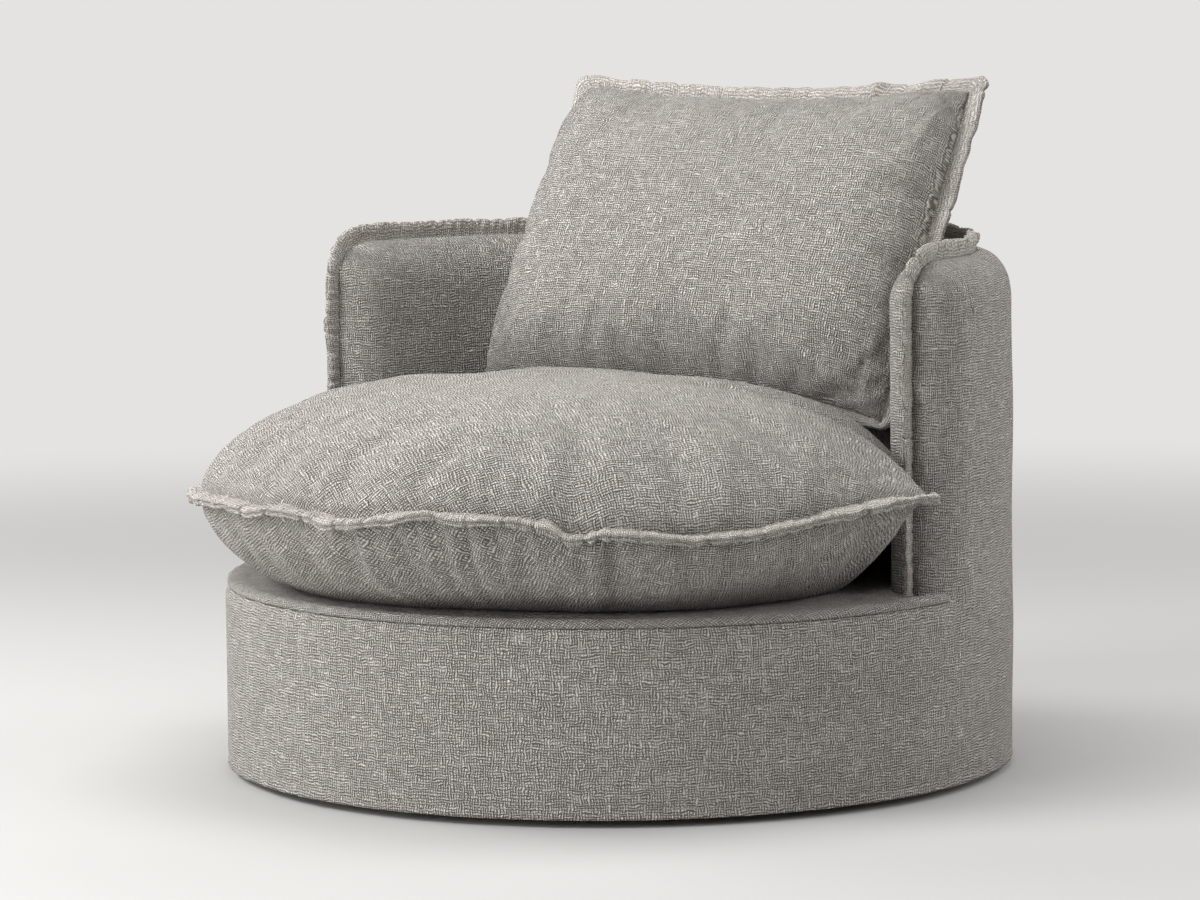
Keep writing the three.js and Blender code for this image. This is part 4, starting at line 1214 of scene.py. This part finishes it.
def pillow_point(a, b, side, inset=0.0):
    """A point of the cushion, from shares of -1 to 1 across it and along it. The side is 1 in front."""
    shoulder = abs(a) ** 8
    full = (1 - b**4) * smooth(-1.1, -0.2, b) * (side > 0)
    over = PILLOW_OVERHANG * 4 * shoulder * (1 - shoulder) * full
    across = a * (PILLOW_HALF - inset) + math.copysign(over, a) + foot_spread(a, b)
    up = PILLOW_LENGTH / 2 + b * (PILLOW_LENGTH / 2 - inset - PILLOW_PULL * (1 - a * a)) - sag(a, b)
    sides = fall(a, 5, 2.6) if side > 0 else fall(a, 3.2, 2.2)
    out = (PILLOW_DEPTH - inset) * sides * fall(b, 3.2, 2.2)
    if not inset:
        out += pillow_folds(across, up, side)
    return stood(across, up, side * max(0.0, out))


def edge_share(v):
    """Turns 0 to 1 into -1 to 1, with rows closer together towards both seams."""
    share = 2 * v - 1
    return math.copysign(1 - (1 - abs(share)) ** 1.8, share)


def pillow_half(side, inset=0.0, columns=PILLOW_COLUMNS, rows=PILLOW_ROWS):
    def place(u, v):
        return pillow_point(edge_share(u), edge_share(v), side, inset)

    def cloth(u, v):
        a, b = edge_share(u), edge_share(v)
        swell = PILLOW_DEPTH * 0.6
        return a * PILLOW_HALF + swell * a**7, b * PILLOW_LENGTH / 2 + swell * b**7

    return panel(columns, rows, place, cloth, inside_out=side < 0)


back_body = piece(
    "back_cushion_cloth",
    sewn(pillow_half(1), pillow_half(-1)),
    cover_cloth,
    "back_cushion",
    "upholstery",
    "back_cover_front",
    "back_cover_rear",
)


def back_seam_distance(point):
    """How far a point lies from the plane of the seam, which is near the seam itself only round the edge."""
    return abs((Vector(point) - stood(0, 0, 0)).dot(stood(0, 0, 1) - stood(0, 0, 0)))


creased(back_body, back_seam_distance, 0.6)

# %% [markdown]
# Its flange runs between two rounded outlines, the seam and the edge. The edge's corners are full, like a
# dog's ears. On the side away from the camera the crown pushes the flange back, and at its foot the seat
# squeezes it short and back.

# %% Back cushion's flange
SEAM_CORNER = 6 * MM
EDGE_CORNER = 16 * MM
CORNER_SHARE = 0.07
SIDE_STATIONS = 240
PUSHED_BACK = 18 * MM
SQUEEZE = 0.5
BACK_FLANGE_HALF = 4.4 * MM


def rounded(share, half_across, half_up, corner):
    """A point of a rounded outline, at a share of the way round it."""
    quarter, left = divmod(share * 4 % 4, 1)
    ways = [(1, 0), (0, 1), (-1, 0), (0, -1)]
    way, turned = ways[int(quarter)], ways[(int(quarter) + 1) % 4]
    half_way = half_across if way[0] else half_up
    half_turned = half_up if way[0] else half_across
    side_share = 1 - CORNER_SHARE
    if left < side_share:
        forward = (2 * left / side_share - 1) * (half_way - corner)
        outward = half_turned
    else:
        turn = (left - side_share) / CORNER_SHARE * math.pi / 2
        forward = half_way - corner * (1 - math.sin(turn))
        outward = half_turned - corner * (1 - math.cos(turn))
    return forward * way[0] - outward * turned[0], forward * way[1] - outward * turned[1]


def pillow_outline(share, extra, corner, back):
    """A point round the cushion, outside its seam by an extra, with its top and bottom drawn in."""
    if extra > 0:
        extra *= 1 - SQUEEZE * max(smooth(0.36, 0.3, share), smooth(0.9, 0.96, share))
    across, up = rounded(share, PILLOW_HALF + extra, PILLOW_LENGTH / 2 + extra, corner)
    a, b = across / (PILLOW_HALF + extra), up / (PILLOW_LENGTH / 2 + extra)
    up -= math.copysign(PILLOW_PULL * (1 - a * a) * abs(b) ** 3, b)
    pushed = (1 - b * b) * smooth(-0.8, -1.0, a) + 0.6 * smooth(-0.1, -0.9, b)
    return stood(across + foot_spread(a, b), up + PILLOW_LENGTH / 2 - sag(a, b), -back * pushed)


def pillow_stations():
    steps = 4 * SIDE_STATIONS
    normal = stood(0, 0, 1) - stood(0, 0, 0)
    stations = []
    along = 0.0
    for i in range(steps + 1):
        seam = pillow_outline(i / steps, -ROOT, SEAM_CORNER, 0)
        edge = pillow_outline(i / steps, PILLOW_FLANGE, EDGE_CORNER, PUSHED_BACK)
        if stations:
            along += (edge - stations[-1][1]).length
        stations.append((seam, edge, normal, along))
    return stations


back_edge = pillow_stations()
back_rule = flange_rule(back_edge, BACK_FLANGE_HALF, CUSHION_FLANGE_SWAY, 121, 120 * MM, 0.2)
back_lip = flange(back_edge, back_rule)
back_flange = piece("back_flange_cloth", back_lip, rolled_cloth_painted_light, "back_cushion", "upholstery")
back_stitches = stitches(back_edge, back_rule, 0.2)
piece("back_flange_stitches", back_stitches, thread, "back_cushion", "upholstery")

# %% [markdown]
# Under the covers lie the fillings. The wall's foam is one slab bent over the frame, so its section runs up
# the outside, over the top, down the inside and back again on the frame's side. The band's foam is a strip
# bent into a ring, which is a section spun round the axis. The cushions' fillings follow their covers, a
# little further in.

# %% Foam
FOAM_INSET = 3.6 * MM
FOAM_DEPTH = 27 * MM
FOAM_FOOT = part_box("wall_foam")[0].z
LEG_ROWS = 18
PAD_LOW, PAD_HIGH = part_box("deck_pad")
PAD_FRONT_GAP = 5.6 * MM
PAD_WALL_GAP = 2 * MM
BAND_FOAM_DEPTH = 20.5 * MM
SEAT_FILLING_INSET = 22 * MM
BACK_FILLING_INSET = 16 * MM


def no_cloth(u, v):
    return u, v


def foam_wall(u, v):
    leg = min(3, int(v * 4))
    rise = v * 4 - leg if v < 1 else 1.0
    side = 1 if leg in (0, 3) else -1
    inset = FOAM_INSET if leg < 2 else FOAM_INSET + FOAM_DEPTH
    along = inset + u * (WALL_LENGTH - 2 * inset)
    top = wall_top(along, inset)
    climbing = rise if leg in (0, 2) else 1 - rise
    height = FOAM_FOOT + (top - FOAM_FOOT) * math.sin(climbing * math.pi / 2)
    half = (OUTER_BULGE if side > 0 else INNER_BULGE) - inset
    out = bulge(half, wall_depth(along, height, inset), ARM_ROUNDING - inset)
    return at(SEAM_RADIUS + side * out, ARM_END + along / SEAM_RADIUS, height)


def closed_panel(columns, rows, place):
    """A panel whose edges meet, closed where they do, with its faces turned out."""
    sheet = panel(columns, rows, place, no_cloth)
    bmesh.ops.remove_doubles(sheet, verts=sheet.verts, dist=0.05 * MM)
    bmesh.ops.holes_fill(sheet, edges=sheet.edges)
    bmesh.ops.recalc_face_normals(sheet, faces=sheet.faces)
    return sheet


wall_slab = closed_panel(160, 4 * LEG_ROWS, foam_wall)
piece("wall_foam_slab", wall_slab, foam, "chair", "foam", "wall_foam")


def deck_pad_point(u, v):
    angle = 2 * math.pi * (u - 0.5)
    rim = deck_reach(angle) - (PAD_FRONT_GAP if abs(angle) < ARM_END + LIP_TUCK else PAD_WALL_GAP)
    turn = math.pi * (v - 0.5)
    radius = rim * min(1.0, 1.06 * math.cos(turn)) ** 0.6 if abs(v - 0.5) < 0.5 else 0.0
    middle, half = (PAD_LOW.z + PAD_HIGH.z) / 2, (PAD_HIGH.z - PAD_LOW.z) / 2
    return at(radius, angle, middle + half * math.copysign(min(1.0, abs(math.sin(turn)) * 1.3), turn))


deck_slab = closed_panel(180, 24, deck_pad_point)
piece("deck_pad_foam", deck_slab, foam, "chair", "foam", "deck_pad")

low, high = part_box("base_foam")
strip = bmesh.new()
inside = high.x - BAND_FOAM_DEPTH
corners = [(inside, low.z), (high.x, low.z), (high.x, high.z), (inside, high.z)]
section = [strip.verts.new((radius, 0, height)) for radius, height in corners]
ring = [strip.edges.new((one, other)) for one, other in zip(section, section[1:] + section[:1])]
bmesh.ops.spin(
    strip,
    geom=section + ring,
    cent=(0, 0, 0),
    axis=(0, 0, 1),
    dvec=(0, 0, 0),
    angle=2 * math.pi,
    steps=144,
    use_merge=True,
)
bmesh.ops.recalc_face_normals(strip, faces=strip.faces)
piece("base_foam_strip", strip, foam, "chair", "foam", "base_foam")

seat_filling = sewn(*(seat_half(side, SEAT_FILLING_INSET, 160, 30) for side in (1, -1)))
piece("seat_filling", seat_filling, foam, "seat_cushion", "foam", "seat_core")
back_filling = sewn(*(pillow_half(side, BACK_FILLING_INSET, 60, 50) for side in (1, -1)))
piece("back_filling_fibre", back_filling, foam, "back_cushion", "foam", "back_filling")

# %% [markdown]
# Elastic straps are stretched across the seat ring under the deck's pad. The base's black cloth is a ring
# of felt, stapled flat under the base board. Both are sheets: a flat grid, laid in place, with their real
# thickness.

# %% Straps and base cloth
STRAP = 1.6 * MM
STRAP_SAG = 0.15 * MM
FELT = 0.8 * MM
FELT_HOLE = 150 * MM
FELT_LIFT = 0.2 * MM
FELT_SLACK = 0.3 * MM


def strap(name):
    """A strap in the place of a CAD node, stretched flat over the ring."""
    low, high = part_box(name)
    middle = (low + high) / 2
    lengthwise = high.y - low.y > high.x - low.x
    width, length = sorted((high.x - low.x, high.y - low.y))

    def place(u, v):
        across, along = (u - 0.5) * width, (v - 0.5) * length
        level = middle.z + STRAP / 2 - STRAP_SAG * (1 + math.cos(2 * math.pi * u))
        spot = (across, along, level) if lengthwise else (along, across, level)
        return Vector(spot) + Vector((middle.x, middle.y, 0))

    def cloth(u, v):
        return u * width, v * length

    web = panel(12, 60, place, cloth, inside_out=not lengthwise)
    made = piece(name + "_strap", web, webbing, "chair", "webbing", name)
    thicken(made, STRAP)


for name in sorted(n for n in frame["nodes"] if "_web_" in n):
    strap(name)

felt_low, felt_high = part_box("dust_cover")
felt_radius = felt_high.x


def felt_point(u, v):
    angle = 2 * math.pi * u
    radius = FELT_HOLE + (felt_radius - FELT_HOLE) * v
    slack = wobble(math.cos(angle) * 3, math.sin(angle) * 3, radius / (100 * MM)) * math.sin(math.pi * v)
    return at(radius, angle, felt_low.z + FELT_LIFT + FELT_SLACK * slack)


felt_ring = panel(120, 14, felt_point, no_cloth, inside_out=True)
base_felt = piece("base_felt", felt_ring, felt, "chair", "dust_cloth", "dust_cover")
thicken(base_felt, FELT)

# %% [markdown]
# The zip is a tape with a moulded coil down its middle, and the swivel turns on steel balls. Each glide is
# a moulded disc with a rounded rim. A bevel on a cylinder's rim makes that rounding.

# %% Zip, balls and glides
ZIP_HALF_ANGLE = 44 * DEGREE
ZIP_THICKNESS = 1.6 * MM
TAPE_THICKNESS = 1 * MM
COIL_PITCH = 2.4 * MM
COIL_SIZES = (5.2 * MM, 1.6 * MM, 1.4 * MM)
COIL_RISE = 0.3 * MM
GLIDE_RADIUS = 20 * MM
GLIDE_ROUNDING = 1.5 * MM
zip_low, zip_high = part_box("seat_zip_tape")
zip_radius = zip_high.y - ZIP_THICKNESS / 2
zip_level = (zip_low.z + zip_high.z) / 2


def zip_point(u, v):
    angle = math.pi + ZIP_HALF_ANGLE * (2 * u - 1)
    return at(zip_radius + TAPE_THICKNESS / 2, angle, zip_low.z + (zip_high.z - zip_low.z) * v)


tape = panel(120, 8, zip_point, no_cloth)
bmesh.ops.solidify(tape, geom=tape.faces, thickness=TAPE_THICKNESS)
coil_count = round(2 * ZIP_HALF_ANGLE * zip_radius / COIL_PITCH)
coil_places = []
for i in range(coil_count):
    angle = math.pi + ZIP_HALF_ANGLE * (2 * (i + 0.5) / coil_count - 1)
    spot = at(zip_radius + COIL_RISE, angle, zip_level)
    coil_places.append((spot, Vector((0, 0, 1)), at(1, angle, 0)))
coil = beads(coil_places, *COIL_SIZES)
piece("zip_tape_and_coil", sewn(tape, coil), nylon, "seat_cushion", "nylon", "seat_zip_tape")

for name in sorted(n for n in frame["nodes"] if n.startswith("bearing_ball")):
    low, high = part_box(name)
    ball = bmesh.new()
    bmesh.ops.create_uvsphere(
        ball,
        u_segments=32,
        v_segments=16,
        radius=(high.z - low.z) / 2,
        matrix=Matrix.Translation((low + high) / 2),
    )
    piece(name + "_smooth", ball, steel, "bearing_cage", "steel", name)

for name in sorted(n for n in frame["nodes"] if n.startswith("glide")):
    low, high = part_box(name)
    disc = bmesh.new()
    bmesh.ops.create_cone(
        disc,
        cap_ends=True,
        segments=48,
        radius1=GLIDE_RADIUS,
        radius2=GLIDE_RADIUS,
        depth=high.z - low.z,
        matrix=Matrix.Translation((low + high) / 2),
    )
    rims = [edge for edge in disc.edges if abs(edge.verts[0].co.z - edge.verts[1].co.z) < WELD]
    bmesh.ops.bevel(
        disc, geom=rims, offset=GLIDE_ROUNDING, segments=3, profile=0.5, affect="EDGES", material=-1
    )
    piece(name + "_moulded", disc, nylon, "plinth", "nylon", name)

# %% [markdown]
# The other hard pieces keep their CAD shapes, because those are their real shapes, and get their finishes
# here. A small bevel breaks their sharp edges, as sawing, sanding and pressing do.

# %% Finishes of the hard pieces
FINISHES = {"timber": (timber, 1.2 * MM), "steel": (steel, 0.3 * MM), "nylon": (nylon, 0.2 * MM)}
SHARP_ANGLE = 40 * DEGREE
slots = {part["node"]: part["material_slot"] for part in frame["record"]["subparts"]}
for name, node in frame["nodes"].items():
    if slots[name] in FINISHES:
        finish, edge = FINISHES[slots[name]]
        node.data.materials.clear()
        node.data.materials.append(finish)
        dye_and_painted_pit_shade = node.modifiers.new("broken_edges", "BEVEL")
        dye_and_painted_pit_shade.width = edge
        dye_and_painted_pit_shade.segments = 2
        dye_and_painted_pit_shade.limit_method = "ANGLE"
        dye_and_painted_pit_shade.angle_limit = SHARP_ANGLE
print("finished", len(slots), "nodes")

# %% [markdown]
# A plain pale floor and soft lamps: a big key lamp and two helpers to the left, one straight above the
# chair, two weaker ones to the right, and an even pale world. What the camera sees behind the chair is one
# plain colour, and the floor fades into it a few metres out, so that no horizon shows. Both look at the
# kind of ray, so the light on the chair stays as the lamps and the world make it.

# %% Floor, lamps and world
FLOOR_SIZE = 40.0
FADE_START = 1.4
FADE_END = 4.5
AIM_HEIGHT = 0.4
BACKGROUND = "#E4E3E1"
FLOOR_COLOUR = "#BDBCBA"
WORLD_COLOUR = "#EDEDEC"


def seen_rays(material):
    """1 for rays that the camera sees, straight, mirrored or through glass, and 0 for those that light."""
    rays = add_node(material, "ShaderNodeLightPath").node.outputs
    direct = [rays["Is Camera Ray"], rays["Is Glossy Ray"]]
    mirrored = add_node(material, MATHS, direct, operation="MAXIMUM")
    return add_node(material, MATHS, [mirrored, rays["Is Transmission Ray"]], operation="MAXIMUM")


floor_sheet = bmesh.new()
bmesh.ops.create_grid(floor_sheet, x_segments=1, y_segments=1, size=FLOOR_SIZE / 2)
floor_mesh = bpy.data.meshes.new("floor")
floor_sheet.to_mesh(floor_mesh)
floor_sheet.free()
floor = bpy.data.objects.new("floor", floor_mesh)
bpy.context.scene.collection.objects.link(floor)
floor_paint = new_material("matt_floor_paint")
floor_shader = floor_paint.node_tree.nodes["Principled BSDF"]
floor_shader.inputs["Base Color"].default_value = linear(FLOOR_COLOUR)
floor_shader.inputs["Roughness"].default_value = 0.9
floor_mesh.materials.append(floor_paint)
floor_place = add_node(floor_paint, "ShaderNodeTexCoord", output="Object")
far = add_node(floor_paint, VECTORS, [floor_place], "Value", operation="LENGTH")
fade_look = {"Value": far, "From Min": FADE_START, "From Max": FADE_END}
fade = add_node(floor_paint, "ShaderNodeMapRange", fade_look, interpolation_type="SMOOTHSTEP")
faded = add_node(floor_paint, MATHS, [fade, seen_rays(floor_paint)], operation="MULTIPLY")
plain = add_node(floor_paint, "ShaderNodeEmission", {"Color": linear(BACKGROUND)})
mixed = add_node(floor_paint, "ShaderNodeMixShader", [faded, floor_shader.outputs[0], plain])
floor_paint.node_tree.links.new(mixed, floor_paint.node_tree.nodes["Material Output"].inputs["Surface"])

RIGHT, _, BACK = camera_axes()


def lamp(name, right, back, height, size, power):
    """A soft square lamp, placed from the camera's side and aimed at the chair."""
    made = bpy.data.objects.new(name, bpy.data.lights.new(name, "AREA"))
    made.data.size = size
    made.data.energy = power
    level = Vector((BACK.x, BACK.y, 0)).normalized()
    made.location = Vector((RIGHT.x, RIGHT.y, 0)) * right + level * back + Vector((0, 0, height))
    aim = Vector((0, 0, AIM_HEIGHT)) - made.location
    made.rotation_euler = aim.to_track_quat("-Z", "Y").to_euler()
    bpy.context.scene.collection.objects.link(made)
    return made


lamp("key_lamp", -2.9, 1.2, 2.5, 1.4, 88)
lamp("left_lamp", -2.87, -1.16, 2.0, 1.4, 60)
lamp("low_lamp", -2.2, 2.2, 0.9, 1.4, 34)
lamp("top_lamp", 0.0, 0.01, 3.3, 2.0, 60)
lamp("fill_lamp", 2.76, 1.41, 1.6, 1.8, 30)
lamp("rim_lamp", 2.85, -1.2, 2.2, 1.8, 42)

world = bpy.data.worlds.new("studio")
bpy.context.scene.world = world
world.use_nodes = True
sky = world.node_tree.nodes["Background"]
sky.inputs["Color"].default_value = linear(WORLD_COLOUR)
sky.inputs["Strength"].default_value = 0.2
seen = add_node(world, "ShaderNodeBackground", {"Color": linear(BACKGROUND)})
chosen = add_node(world, "ShaderNodeMixShader", [seen_rays(world), sky.outputs[0], seen])
world.node_tree.links.new(chosen, world.node_tree.nodes["World Output"].inputs["Surface"])
bpy.context.scene.view_settings.view_transform = "Standard"
print("stage set")
